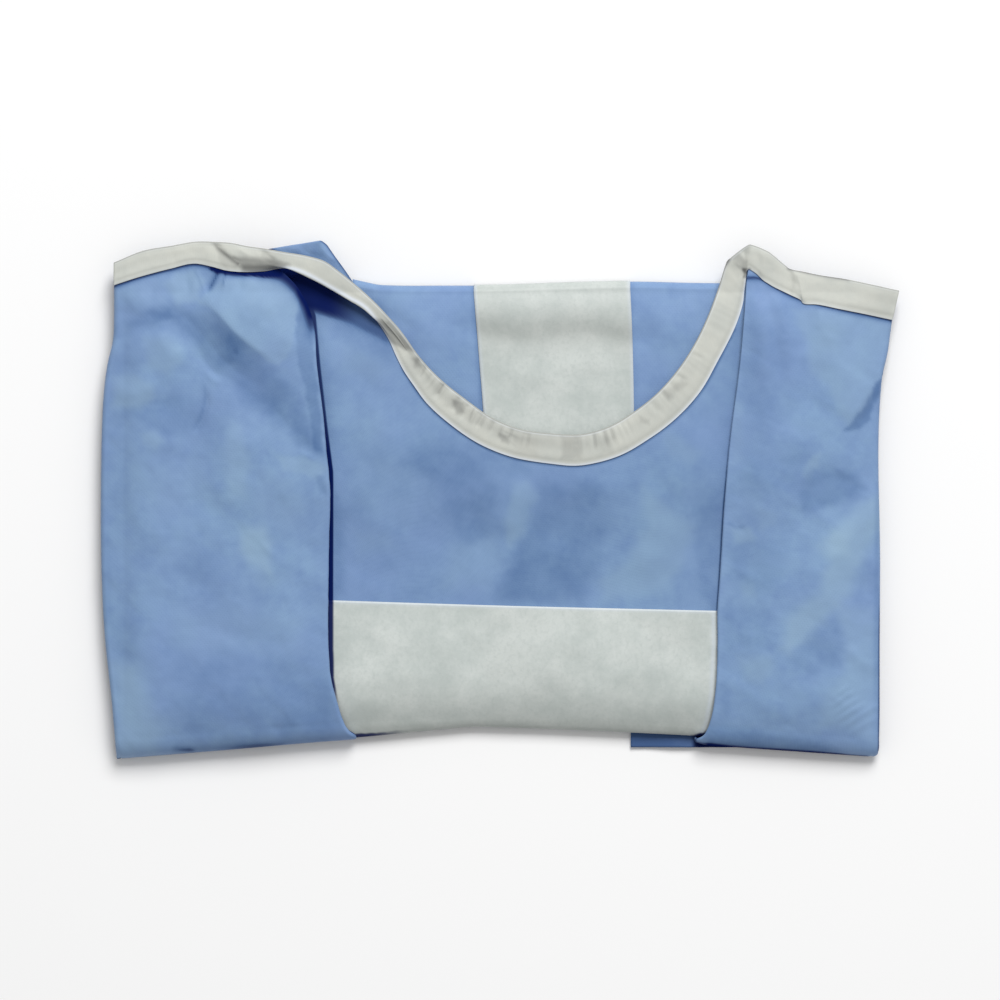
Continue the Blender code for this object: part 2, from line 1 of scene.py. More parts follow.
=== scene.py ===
import bpy
import numpy as np
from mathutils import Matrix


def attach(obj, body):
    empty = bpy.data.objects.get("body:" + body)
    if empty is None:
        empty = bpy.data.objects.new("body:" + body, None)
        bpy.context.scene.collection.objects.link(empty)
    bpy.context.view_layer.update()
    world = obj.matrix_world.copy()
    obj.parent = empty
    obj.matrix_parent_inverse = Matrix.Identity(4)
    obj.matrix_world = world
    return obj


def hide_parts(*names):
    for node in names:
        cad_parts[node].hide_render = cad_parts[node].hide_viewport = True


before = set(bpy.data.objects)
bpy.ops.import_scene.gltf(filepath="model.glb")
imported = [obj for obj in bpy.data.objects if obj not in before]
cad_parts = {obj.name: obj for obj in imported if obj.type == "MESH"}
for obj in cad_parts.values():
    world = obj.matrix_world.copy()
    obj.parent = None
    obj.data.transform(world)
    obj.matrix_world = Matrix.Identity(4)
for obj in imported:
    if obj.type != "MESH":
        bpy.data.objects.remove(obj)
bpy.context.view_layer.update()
mm = 0.001           # the shapes below are worked out in millimetres


# Lines, patches and small shape helpers.

# Eases from 0 at low to 1 at high: 3 t^2 - 2 t^3.
def smoothStep(low, high, value):
    share = np.clip((value - low) / (high - low), 0.0, 1.0)
    return share * share * (3.0 - 2.0 * share)


# A start value plus changes that each ease in over a run: rows of from, to, amount.
def eased(start, changes, place):
    return start + sum(amount * smoothStep(low, high, place) for low, high, amount in changes)


# Even shares from start to end.
def shares(count, start=0.0, end=1.0):
    return np.linspace(start, end, count)


# Bell curve: exp(-(distance / width)^2).
def bell(distance, width):
    return np.exp(-(distance / width) ** 2)


# Smooth run from start to end that leaves and arrives with given slopes, t from 0 to 1:
# the cubic Hermite piece.
def hermite(t, start, end, leave, arrive):
    return ((1 + 2 * t) * (1 - t) ** 2 * start + t * t * (3 - 2 * t) * end
            + t * (1 - t) ** 2 * leave - t * t * (1 - t) * arrive)


# Smooth curve through the rows of a table (Hermite pieces between neighbours),
# read at shares of its length.
def curveThrough(rows, where):
    rows = np.array(rows, float)
    steps = np.linalg.norm(np.diff(rows[:, :2], axis=0), axis=1)
    length = np.concatenate([[0.0], np.cumsum(steps)]) / steps.sum()
    slope = np.gradient(rows, length, axis=0)
    first = np.clip(np.searchsorted(length, where, side="right") - 1, 0, len(rows) - 2)
    span = (length[first + 1] - length[first])[:, None]
    t = (where[:, None] - length[first][:, None]) / span
    return hermite(t, rows[first], rows[first + 1], span * slope[first], span * slope[first + 1])


# Smooth y of a table of x, y (x rising) at every x.
def profileAt(rows, x, samples=400):
    dense = curveThrough(rows, shares(samples))
    return np.interp(x, dense[:, 0], dense[:, 1])


# Plan points of a panel between its four edges: the ruled surface of each pair of
# edges, added, less the plane of the four corners. Rows run from far to near.
def panelPlan(far, near, left, right, u, v):
    farEdge = curveThrough(far, u)[None, :, :2]
    nearEdge = curveThrough(near, u)[None, :, :2]
    leftEdge = curveThrough(left, v)[:, None, :2]
    rightEdge = curveThrough(right, v)[:, None, :2]
    u = u[None, :, None]
    v = v[:, None, None]
    ruled = (1 - v) * farEdge + v * nearEdge + (1 - u) * leftEdge + u * rightEdge
    farLeft, farRight, nearLeft, nearRight = np.array([far[0], far[-1], near[0], near[-1]])
    corners = (1 - v) * ((1 - u) * farLeft + u * farRight)
    return ruled - corners - v * ((1 - u) * nearLeft + u * nearRight)


# Unit normals of a grid: the cross product of its rows' and columns' directions.
def gridNormals(grid):
    across = np.gradient(grid, axis=1)
    along = np.gradient(grid, axis=0)
    normal = np.cross(along, across)
    return normal / np.linalg.norm(normal, axis=2, keepdims=True)


# x and y of a grid's points.
def planOf(grid):
    return grid[:, :, 0], grid[:, :, 1]


# Puts a plan at its height: x, y and height(x, y).
def lifted(plan, height):
    return np.dstack([plan, height(*planOf(plan))])


# Lines and patches: how many half-widths of a line count, the share of its
# length over which an end fades, points of its curve for each one given, the waver of the
# patches' edges (rows as in crumple), how much of it goes across, and how far crumple's
# waves bend.
drawn = {
    "reach": 3.2, "fade": 0.35, "finer": 4, "waver": ((71, 23.0, 6.0, 5, 1.5),),
    "waverAcross": 0.8, "bend": 1.4,
}


# Height that the listed lines add at x, y. A row of the table is: the points of
# the line, its half-width on the left and on the right, its height (or depth, minus),
# how sharp it is (0 soft, 1 crisp) and which ends stay open ("", "s", "e" or "se").
# height * fade * exp(-(distance / halfWidth) ^ (2 - sharp)).
def creaseHeight(table, x, y):
    total = np.zeros(x.shape)
    for points, leftWidth, rightWidth, height, sharp, openEnds in table:
        line = np.array(points, float)
        if len(line) > 2:
            line = curveThrough(line, shares(drawn["finer"] * len(line)))
        reach = drawn["reach"] * max(leftWidth, rightWidth)
        near = (x > line[:, 0].min() - reach) & (x < line[:, 0].max() + reach)
        near &= (y > line[:, 1].min() - reach) & (y < line[:, 1].max() + reach)
        px, py = x[near], y[near]
        if px.size == 0:
            continue
        steps = np.diff(line, axis=0)
        lengths = np.hypot(steps[:, 0], steps[:, 1])
        places = np.concatenate([[0.0], np.cumsum(lengths)])
        best = np.full(px.shape, np.inf)
        side = np.zeros(px.shape)
        place = np.zeros(px.shape)
        for (startX, startY), (stepX, stepY), length, start in zip(line, steps, lengths, places):
            t = np.clip(((px - startX) * stepX + (py - startY) * stepY) / length ** 2, 0, 1)
            offX = px - startX - t * stepX
            offY = py - startY - t * stepY
            off = np.hypot(offX, offY)
            nearer = off < best
            best = np.where(nearer, off, best)
            side = np.where(nearer, stepX * offY - stepY * offX, side)
            place = np.where(nearer, (start + t * length) / places[-1], place)
        width = np.where(side > 0, leftWidth, rightWidth)
        fade = 1.0
        if "s" not in openEnds:
            fade = fade * smoothStep(0.0, drawn["fade"], place)
        if "e" not in openEnds:
            fade = fade * smoothStep(1.0, 1.0 - drawn["fade"], place)
        total[near] += height * fade * np.exp(-((best / width) ** (2.0 - sharp)))
    return total


# Share that soft-edged patches take at x, y, added up. A row of the table is: the
# corners of the patch, the softness of its edge and its strength. The edges waver.
# strength * ease(signed distance to the edge / softness).
def patchShare(table, x, y):
    waver = crumple(drawn["waver"], x, y)
    px, py = x + waver, y - drawn["waverAcross"] * waver
    total = np.zeros(x.shape)
    for corners, soft, strength in table:
        inside = np.zeros(x.shape, bool)
        nearest = np.full(x.shape, np.inf)
        for (startX, startY), (endX, endY) in zip(corners, corners[1:] + corners[:1]):
            stepX, stepY = endX - startX, endY - startY
            t = ((px - startX) * stepX + (py - startY) * stepY) / (stepX ** 2 + stepY ** 2)
            t = np.clip(t, 0.0, 1.0)
            off = np.hypot(px - startX - t * stepX, py - startY - t * stepY)
            nearest = np.minimum(nearest, off)
            if stepY != 0.0:
                crosses = (startY > py) != (endY > py)
                inside ^= crosses & (px < startX + (py - startY) * stepX / stepY)
        total += strength * smoothStep(-soft, soft, np.where(inside, nearest, -nearest))
    return total


# Uneven cloth, from rows of seed, longest wave, shortest wave, count and height: sine
# waves of seeded direction and phase, from long to short, each one bent by the wave
# before it and as high as it is long.
def crumple(rows, x, y, seed=0):
    total = 0.0
    for number, longest, shortest, count, height in rows:
        dice = np.random.default_rng(seed + number)
        waves, weight, bend = 0.0, 0.0, 0.0
        for wave in np.geomspace(longest, shortest, count):
            angle, phase = dice.uniform(0.0, 2.0 * np.pi, 2)
            along = x * np.cos(angle) + y * np.sin(angle)
            bend = np.sin(2.0 * np.pi * along / wave + phase + drawn["bend"] * bend)
            waves = waves + bend * wave / longest
            weight += wave / longest
        total = total + height * waves / weight
    return total


# How the laid cloths lie on each other.

lay = {
    "gap": 0.3, "slack": 0.4, "ply": 1.3,     # spacing of the cloths on each other
    "wall": 0.45,                             # real thickness of one nonwoven ply
    "left": -233.0, "right": 229.0, "far": 128.6,    # edges of the folded layers
    "near": [
        (-233.0, -148.0), (-90.0, -138.2), (-17.0, -135.2),
        (81.0, -138.2), (126.0, -140.0), (229.0, -148.5),
    ],
    "edgeHeight": 8.5, "crown": 3.5, "crownRun": 30.0,
    "sleeveLift": 3.2, "liftLeft": (-192.0, -165.0), "liftRight": (162.0, 200.0),
    "liftNear": (-30.0, 15.0),
    "sideDroop": (3.6, 13.0), "farDroop": (4.0, 20.0),
    "hollow": (-105.0, 115.0, 40.0, 18.0, 3.5),      # beside the left shoulder
    "soften": 5.0,                            # how far the droop reaches back inside
    "rollAngles": np.radians(np.linspace(7.0, 100.0, 13)),
    "roundPower": 2.2, "nearTuck": ((0.7, 0.8), (2.2, 1.4)),
    "crowd": (0.03, 13),                      # share of a panel with crowded rows, their count
}


# 0 at an edge of the folded layers, 1 a crown run inside it, on a parabola.
def edgeRise(distance):
    return 1.0 - (1.0 - np.clip(distance / lay["crownRun"], 0.0, 1.0)) ** 2


# Sag of cloth that reaches past the layers: depth * (1 - exp(-distance / run)), where
# the distance is eased in by a soft ramp, s * log(1 + exp(distance / s)).
def droop(distance, sag):
    soft = lay["soften"]
    depth, run = sag
    away = soft * np.logaddexp(0.0, distance / soft)
    return depth * (1.0 - np.exp(-away / run))


# Rounding of a near fold: a quarter of a superellipse, 0 at the outline, 1 a width in.
def roundedEnd(distance, width):
    t = np.clip(distance / width, 0.0, 1.0)
    power = lay["roundPower"]
    return (1.0 - (1.0 - t) ** power) ** (1.0 / power)


# Rows of a panel: even ones, then ones that crowd together at the near outline.
def nearShares(count):
    edge, crowded = lay["crowd"]
    crowd = 1.0 - edge * (1.0 - shares(crowded)[1:]) ** 2
    return np.concatenate([shares(count, 0.0, 1.0 - edge), crowd])


# Two more rows that turn the cloth under at its near outline.
def tuckedUnder(grid):
    tucks = [grid[-1:] + (0.0, inward, -down) for inward, down in lay["nearTuck"]]
    return np.concatenate([grid] + tucks)


# Top of the folded layers: the edge height, a crown, less the hollow and the droop.
def stackTop(x, y):
    side = np.minimum(x - lay["left"], lay["right"] - x)
    end = np.minimum(y - profileAt(lay["near"], x), lay["far"] - y)
    height = lay["edgeHeight"] + lay["crown"] * edgeRise(side) * edgeRise(end)
    hollowX, hollowY, halfLength, halfWidth, depth = lay["hollow"]
    away = ((x - hollowX) / halfLength) ** 2 + ((y - hollowY) / halfWidth) ** 2
    height = height - depth * np.exp(-away)
    return height - droop(-side, lay["sideDroop"]) - droop(y - lay["far"], lay["farDroop"])


# Meshes and attributes.

# A cloth from a grid of points: the grid is its outer face, Solidify gives the wall
# inward. Extra numbers per point go in as attributes that the finishes read.
def makeSheet(name, grid, finish, marks, wall=lay["wall"]):
    rows, columns = grid.shape[:2]
    index = np.arange(rows * columns).reshape(rows, columns)
    corners = (index[:-1, :-1], index[1:, :-1], index[1:, 1:], index[:-1, 1:])
    faces = np.stack([corner.ravel() for corner in corners], axis=1).tolist()
    made = makeObject(name, grid.reshape(-1, 3), faces, finish)
    across = np.zeros((rows, columns))
    along = np.zeros((rows, columns))
    across[:, 1:] = np.cumsum(np.linalg.norm(np.diff(grid, axis=1), axis=2), axis=1)
    along[1:] = np.cumsum(np.linalg.norm(np.diff(grid, axis=0), axis=2), axis=0)
    cloth = np.stack([across, along, np.zeros((rows, columns))], axis=2) * mm
    addAttribute(made, "clothSpace", cloth)
    for word, values in marks.items():
        addAttribute(made, word, np.broadcast_to(values, (rows, columns)))
    shell = made.modifiers.new("wall", "SOLIDIFY")
    shell.thickness = wall * mm
    shell.offset = -1.0
    shell.use_rim = True
    return made


# An object from points in millimetres and faces, shaded smooth, that rides on the part.
def makeObject(name, points, faces, finish):
    mesh = bpy.data.meshes.new(name)
    mesh.from_pydata((points * mm).tolist(), [], faces)
    mesh.materials.append(finish)
    mesh.shade_smooth()
    made = addObject(name, mesh)
    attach(made, "root")
    return made


# An object for its data, linked into the scene.
def addObject(name, data):
    made = bpy.data.objects.new(name, data)
    bpy.context.scene.collection.objects.link(made)
    return made


# One number, or one vector, per point of the mesh, under a name that the finishes read.
def addAttribute(made, word, values):
    kind, key = ("FLOAT_VECTOR", "vector") if values.ndim == 3 else ("FLOAT", "value")
    layer = made.data.attributes.new(word, kind, "POINT")
    layer.data.foreach_set(key, np.ascontiguousarray(values, dtype=np.float32).ravel())


# Finishes.

# Wraps a node's socket, so that shader maths reads as plain arithmetic.
class Signal:
    def __init__(self, finish, socket):
        self.finish = finish
        self.socket = socket

    def maths(self, operation, *values):
        inputs = dict(enumerate(values))
        return self.finish.add("ShaderNodeMath", {"operation": operation}, inputs)

    def __add__(self, other):
        return self.maths("ADD", self, other)

    __radd__ = __add__

    def __sub__(self, other):
        return self.maths("SUBTRACT", self, other)

    def __rsub__(self, other):
        return self.maths("SUBTRACT", other, self)

    def __mul__(self, other):
        return self.maths("MULTIPLY", self, other)

    __rmul__ = __mul__

    def sine(self):
        return self.maths("SINE", self)

    def above(self, low, high):      # 0 under low, 1 over high, a ramp between
        inputs = {0: self, 1: low, 2: high, 3: 0.0, 4: 1.0}
        return self.finish.add("ShaderNodeMapRange", {"clamp": True}, inputs)


# A material with one Principled shader, and the nodes that lead to it.
class Finish:
    def __init__(self, name, constants):
        self.material = bpy.data.materials.new(name)
        self.material.use_nodes = True
        self.tree = self.material.node_tree
        self.shader = self.tree.nodes["Principled BSDF"]
        for socket, value in constants.items():
            self.shader.inputs[socket].default_value = value

    # Any node: its type, its settings, the values or signals of its sockets.
    def add(self, kind, settings=None, inputs=None, output=0):
        node = self.tree.nodes.new(kind)
        for key, value in (settings or {}).items():
            setattr(node, key, value)
        for socket, value in (inputs or {}).items():
            self.feed(node.inputs[socket], value)
        return Signal(self, node.outputs[output])

    def feed(self, socket, value):   # links a signal, or sets a plain value
        if isinstance(value, Signal):
            self.tree.links.new(value.socket, socket)
        else:
            socket.default_value = value

    def mark(self, word):            # an attribute with one number per point
        return self.add("ShaderNodeAttribute", {"attribute_name": word}, output=2)

    def place(self, word, stretch=(1.0, 1.0, 1.0), turn=0.0):    # an attribute as a position
        spot = self.add("ShaderNodeAttribute", {"attribute_name": word}, output=1)
        inputs = {"Vector": spot, "Scale": stretch, "Rotation": (0.0, 0.0, turn)}
        return self.add("ShaderNodeMapping", {}, inputs)

    def objectPlace(self):           # position in the object's own metres
        return self.add("ShaderNodeTexCoord", output=3)

    def noise(self, place, scale, detail=2.0, roughness=0.5):
        inputs = {"Vector": place, "Scale": scale, "Detail": detail, "Roughness": roughness}
        return self.add("ShaderNodeTexNoise", {}, inputs)

    def blend(self, factor, first, second):      # a colour between two colours
        inputs = {0: factor, 6: first, 7: second}
        return self.add("ShaderNodeMix", {"data_type": "RGBA"}, inputs, output=2)

    def axis(self, place, number):   # x, y or z of a position
        return self.add("ShaderNodeSeparateXYZ", {}, {0: place}, output=number)

    def bump(self, height, strength, distance):
        inputs = {"Height": height, "Strength": strength, "Distance": distance}
        return self.add("ShaderNodeBump", {}, inputs)

    def shade(self, colour, roughness, normal):      # feeds the shader, gives the material
        self.feed(self.shader.inputs["Base Color"], colour)
        self.feed(self.shader.inputs["Roughness"], roughness)
        self.feed(self.shader.inputs["Normal"], normal)
        return self.material

    # Mixes in a second shader, without any gloss and in the colour of painted shade, where cloth
    # lies deep in a hollow.
    def hollowOut(self, factor, colour):
        constants = {"Base Color": colour, "Roughness": 1.0, "Specular IOR Level": 0.0}
        dull = self.add("ShaderNodeBsdfPrincipled", {}, constants)
        body = Signal(self, self.shader.outputs[0])
        mixed = self.add("ShaderNodeMixShader", {}, {0: factor, 1: body, 2: dull})
        self.feed(self.tree.nodes["Material Output"].inputs["Surface"], mixed)


# Colours of painted shade: gapBlue for cloth deep in a gap, duskBlue for cloth turned away from
# the light.
gapBlue = (0.0035, 0.0100, 0.078, 1.0)      # cloth seen deep in a gap
duskBlue = (0.068, 0.142, 0.305, 1.0)       # cloth turned away from the light


# Blue spunbond nonwoven. Noises are rows of scale, detail and roughness, edges the two
# ends of a ramp, and stretches a pattern's scale along x, y and z with its turn.
nonwoven = {
    "shader": {"Metallic": 0.0, "Sheen Weight": 0.08, "Sheen Roughness": 0.5,
               "Specular IOR Level": 0.22},
    "patches": (16.0, 3.0, 0.6), "blotches": (62.0, 4.0, 0.62), "fibres": (1500.0, 2.0, 0.6),
    "fibreStretch": ((1.0, 0.35, 1.0), 0.5), "fibreEdges": (0.45, 0.8),
    "bondPitch": 0.0021, "bondSquash": 0.75, "bondEdges": (0.45, 0.9),
    "patchEdges": (0.36, 0.66), "blotchEdges": (0.40, 0.72), "blotchShare": 0.75,
    "bondShare": 0.10, "fibreShare": 0.12, "mottle": 0.9, "mottleLeast": 0.1,
    "shadeGain": 2.0, "deepEdges": (0.40, 0.95), "dull": 0.52, "dullMore": 0.16,
    "fibreHeight": 0.6, "bondHeight": 0.7, "blotchHeight": 1.5, "bump": (0.30, 0.00022),
}


# Patches of paler and deeper blue, fine fibres and small point bonds where two sines
# cross. The mark "light" paints a highlight in greenish blue on the facets that face the
# light, and the mark "shade" paints shade: first the blue of cloth turned from the light,
# then the deep blue of its hollows.
def nonwovenFinish(name, base, pale, deep, paintedLight, hollow):
    finish = Finish(name, nonwoven["shader"])
    cloth = finish.place("clothSpace")
    spot = finish.objectPlace()
    patches = finish.noise(spot, *nonwoven["patches"])
    blotches = finish.noise(spot, *nonwoven["blotches"])
    fibres = finish.noise(finish.place("clothSpace", *nonwoven["fibreStretch"]),
                          *nonwoven["fibres"])
    pitch = 2.0 * np.pi / nonwoven["bondPitch"]
    bondU = (finish.axis(cloth, 0) * pitch).sine()
    bondV = (finish.axis(cloth, 1) * pitch * nonwoven["bondSquash"]).sine()
    bonds = (bondU * bondV).above(*nonwoven["bondEdges"])
    colour = finish.blend(patches.above(*nonwoven["patchEdges"]), base, pale)
    blotched = blotches.above(*nonwoven["blotchEdges"]) * nonwoven["blotchShare"]
    colour = finish.blend(blotched, colour, deep)
    fine = fibres.above(*nonwoven["fibreEdges"]) * nonwoven["fibreShare"]
    colour = finish.blend(bonds * nonwoven["bondShare"] + fine, colour, deep)
    mottle = blotches * nonwoven["mottle"] + patches * nonwoven["mottle"]
    mottle = mottle + nonwoven["mottleLeast"]
    # painted highlight: the mark "light", mottled, blends towards the lit colour
    colour = finish.blend(finish.mark("light") * mottle, colour, paintedLight)
    # painted shade: towards duskBlue, then past deepEdges towards the hollow colour, dull
    shade = finish.mark("shade")
    dusk = (shade * mottle * nonwoven["shadeGain"]).above(0.0, 1.0)
    colour = finish.blend(dusk, colour, duskBlue)
    deepest = shade.above(*nonwoven["deepEdges"])
    colour = finish.blend(deepest, colour, hollow)
    finish.hollowOut(deepest, hollow)
    relief = fibres * nonwoven["fibreHeight"] - bonds * nonwoven["bondHeight"]
    relief = finish.bump(relief + blotches * nonwoven["blotchHeight"], *nonwoven["bump"])
    return finish.shade(colour, blotches * nonwoven["dullMore"] + nonwoven["dull"], relief)


laminate = {
    "shader": {"Metallic": 0.0, "Specular IOR Level": 0.42},
    "clouds": (34.0, 4.0, 0.65), "flecks": (420.0, 3.0, 0.6), "fibres": (1300.0, 2.0, 0.6),
    "fleckStretch": ((1.0, 0.8, 1.0), 0.9), "fibreStretch": ((0.4, 1.0, 1.0), -0.6),
    "cloudEdges": (0.38, 0.62), "fleckEdges": (0.48, 0.80), "fibreEdges": (0.5, 0.8),
    "fleckShare": 0.50, "fibreShare": 0.16, "dull": 0.40, "dullMore": 0.2,
    "fibreHeight": 0.5, "fleckHeight": 0.9, "cloudHeight": 1.5, "bump": (0.28, 0.00025),
}


# Off-white laminated nonwoven: cloudy film over flecks and fibres, with a painted
# highlight at the mark "rim", painted shade at "shade" and the deep blue of painted shade at
# "gap", where a dull shader is mixed in.
def laminateFinish(name, base, pale, deep, rim, hollow):
    finish = Finish(name, laminate["shader"])
    clouds = finish.noise(finish.objectPlace(), *laminate["clouds"])
    flecks = finish.noise(finish.place("clothSpace", *laminate["fleckStretch"]),
                          *laminate["flecks"])
    fibres = finish.noise(finish.place("clothSpace", *laminate["fibreStretch"]),
                          *laminate["fibres"])
    colour = finish.blend(clouds.above(*laminate["cloudEdges"]), base, pale)
    flecked = flecks.above(*laminate["fleckEdges"]) * laminate["fleckShare"]
    fine = fibres.above(*laminate["fibreEdges"]) * laminate["fibreShare"]
    colour = finish.blend(flecked + fine, colour, deep)
    # painted highlight at rim, painted shade at shade, deep blue painted shade at gap
    colour = finish.blend(finish.mark("rim"), colour, rim)
    colour = finish.blend(finish.mark("shade"), colour, hollow)
    colour = finish.blend(finish.mark("gap"), colour, gapBlue)
    finish.hollowOut(finish.mark("gap"), gapBlue)
    relief = fibres * laminate["fibreHeight"] + flecks * laminate["fleckHeight"]
    relief = finish.bump(relief + clouds * laminate["cloudHeight"], *laminate["bump"])
    return finish.shade(colour, clouds * laminate["dullMore"] + laminate["dull"], relief)


tape = {
    "shader": {"Metallic": 0.0, "Sheen Weight": 0.10, "Specular IOR Level": 0.3},
    "clouds": (48.0, 3.0, 0.6), "fibres": (1100.0, 3.0, 0.62),
    "fibreStretch": ((0.3, 1.0, 1.0), 0.0), "cloudEdges": (0.35, 0.68),
    "fibreEdges": (0.48, 0.8), "fibreShare": 0.30, "weftPitch": 0.0011, "weftShare": 0.006,
    "fibreHeight": 0.9, "weftHeight": 0.04, "bump": (0.35, 0.00025),
    "dull": 0.66, "dullMore": 0.12,
}


# Folded binding tape: warm white, faint weft lines across it (a sine of its length), with
# a painted highlight at the mark "rim" and painted shade at "shade".
def tapeFinish(name, base, pale, deep, rim, hollow):
    finish = Finish(name, tape["shader"])
    cloth = finish.place("clothSpace")
    clouds = finish.noise(finish.objectPlace(), *tape["clouds"])
    weft = (finish.axis(cloth, 1) * (2.0 * np.pi / tape["weftPitch"])).sine()
    fibres = finish.noise(finish.place("clothSpace", *tape["fibreStretch"]), *tape["fibres"])
    colour = finish.blend(clouds.above(*tape["cloudEdges"]), base, pale)
    fine = fibres.above(*tape["fibreEdges"]) * tape["fibreShare"]
    colour = finish.blend(fine + (weft + 1.0) * tape["weftShare"], colour, deep)
    # painted highlight along the edges, then painted shade
    colour = finish.blend(finish.mark("rim"), colour, rim)
    colour = finish.blend(finish.mark("shade"), colour, hollow)
    relief = fibres * tape["fibreHeight"] + weft * tape["weftHeight"] + clouds
    relief = finish.bump(relief, *tape["bump"])
    return finish.shade(colour, clouds * tape["dullMore"] + tape["dull"], relief)


gownBlue = nonwovenFinish(
    "gownBlue", base=(0.184, 0.288, 0.500, 1.0), pale=(0.206, 0.330, 0.512, 1.0),
    deep=(0.150, 0.245, 0.448, 1.0), paintedLight=(0.284, 0.420, 0.542, 1.0), hollow=gapBlue)
gownBlueInner = nonwovenFinish(
    "gownBlueInner", base=(0.165, 0.262, 0.468, 1.0), pale=(0.205, 0.312, 0.515, 1.0),
    deep=(0.135, 0.222, 0.420, 1.0), paintedLight=(0.270, 0.380, 0.540, 1.0), hollow=gapBlue)
reinforcementWhite = laminateFinish(
    "reinforcementWhite", base=(0.485, 0.532, 0.512, 1.0), pale=(0.585, 0.625, 0.603, 1.0),
    deep=(0.420, 0.468, 0.448, 1.0), rim=(0.600, 0.665, 0.760, 1.0),
    hollow=(0.120, 0.120, 0.105, 1.0))
bindingWhite = tapeFinish(
    "bindingWhite", base=(0.495, 0.512, 0.475, 1.0), pale=(0.560, 0.570, 0.520, 1.0),
    deep=(0.430, 0.455, 0.430, 1.0), rim=(0.700, 0.750, 0.815, 1.0),
    hollow=(0.075, 0.075, 0.075, 1.0))
print("finishes made")


# Front panel and its reinforcement.

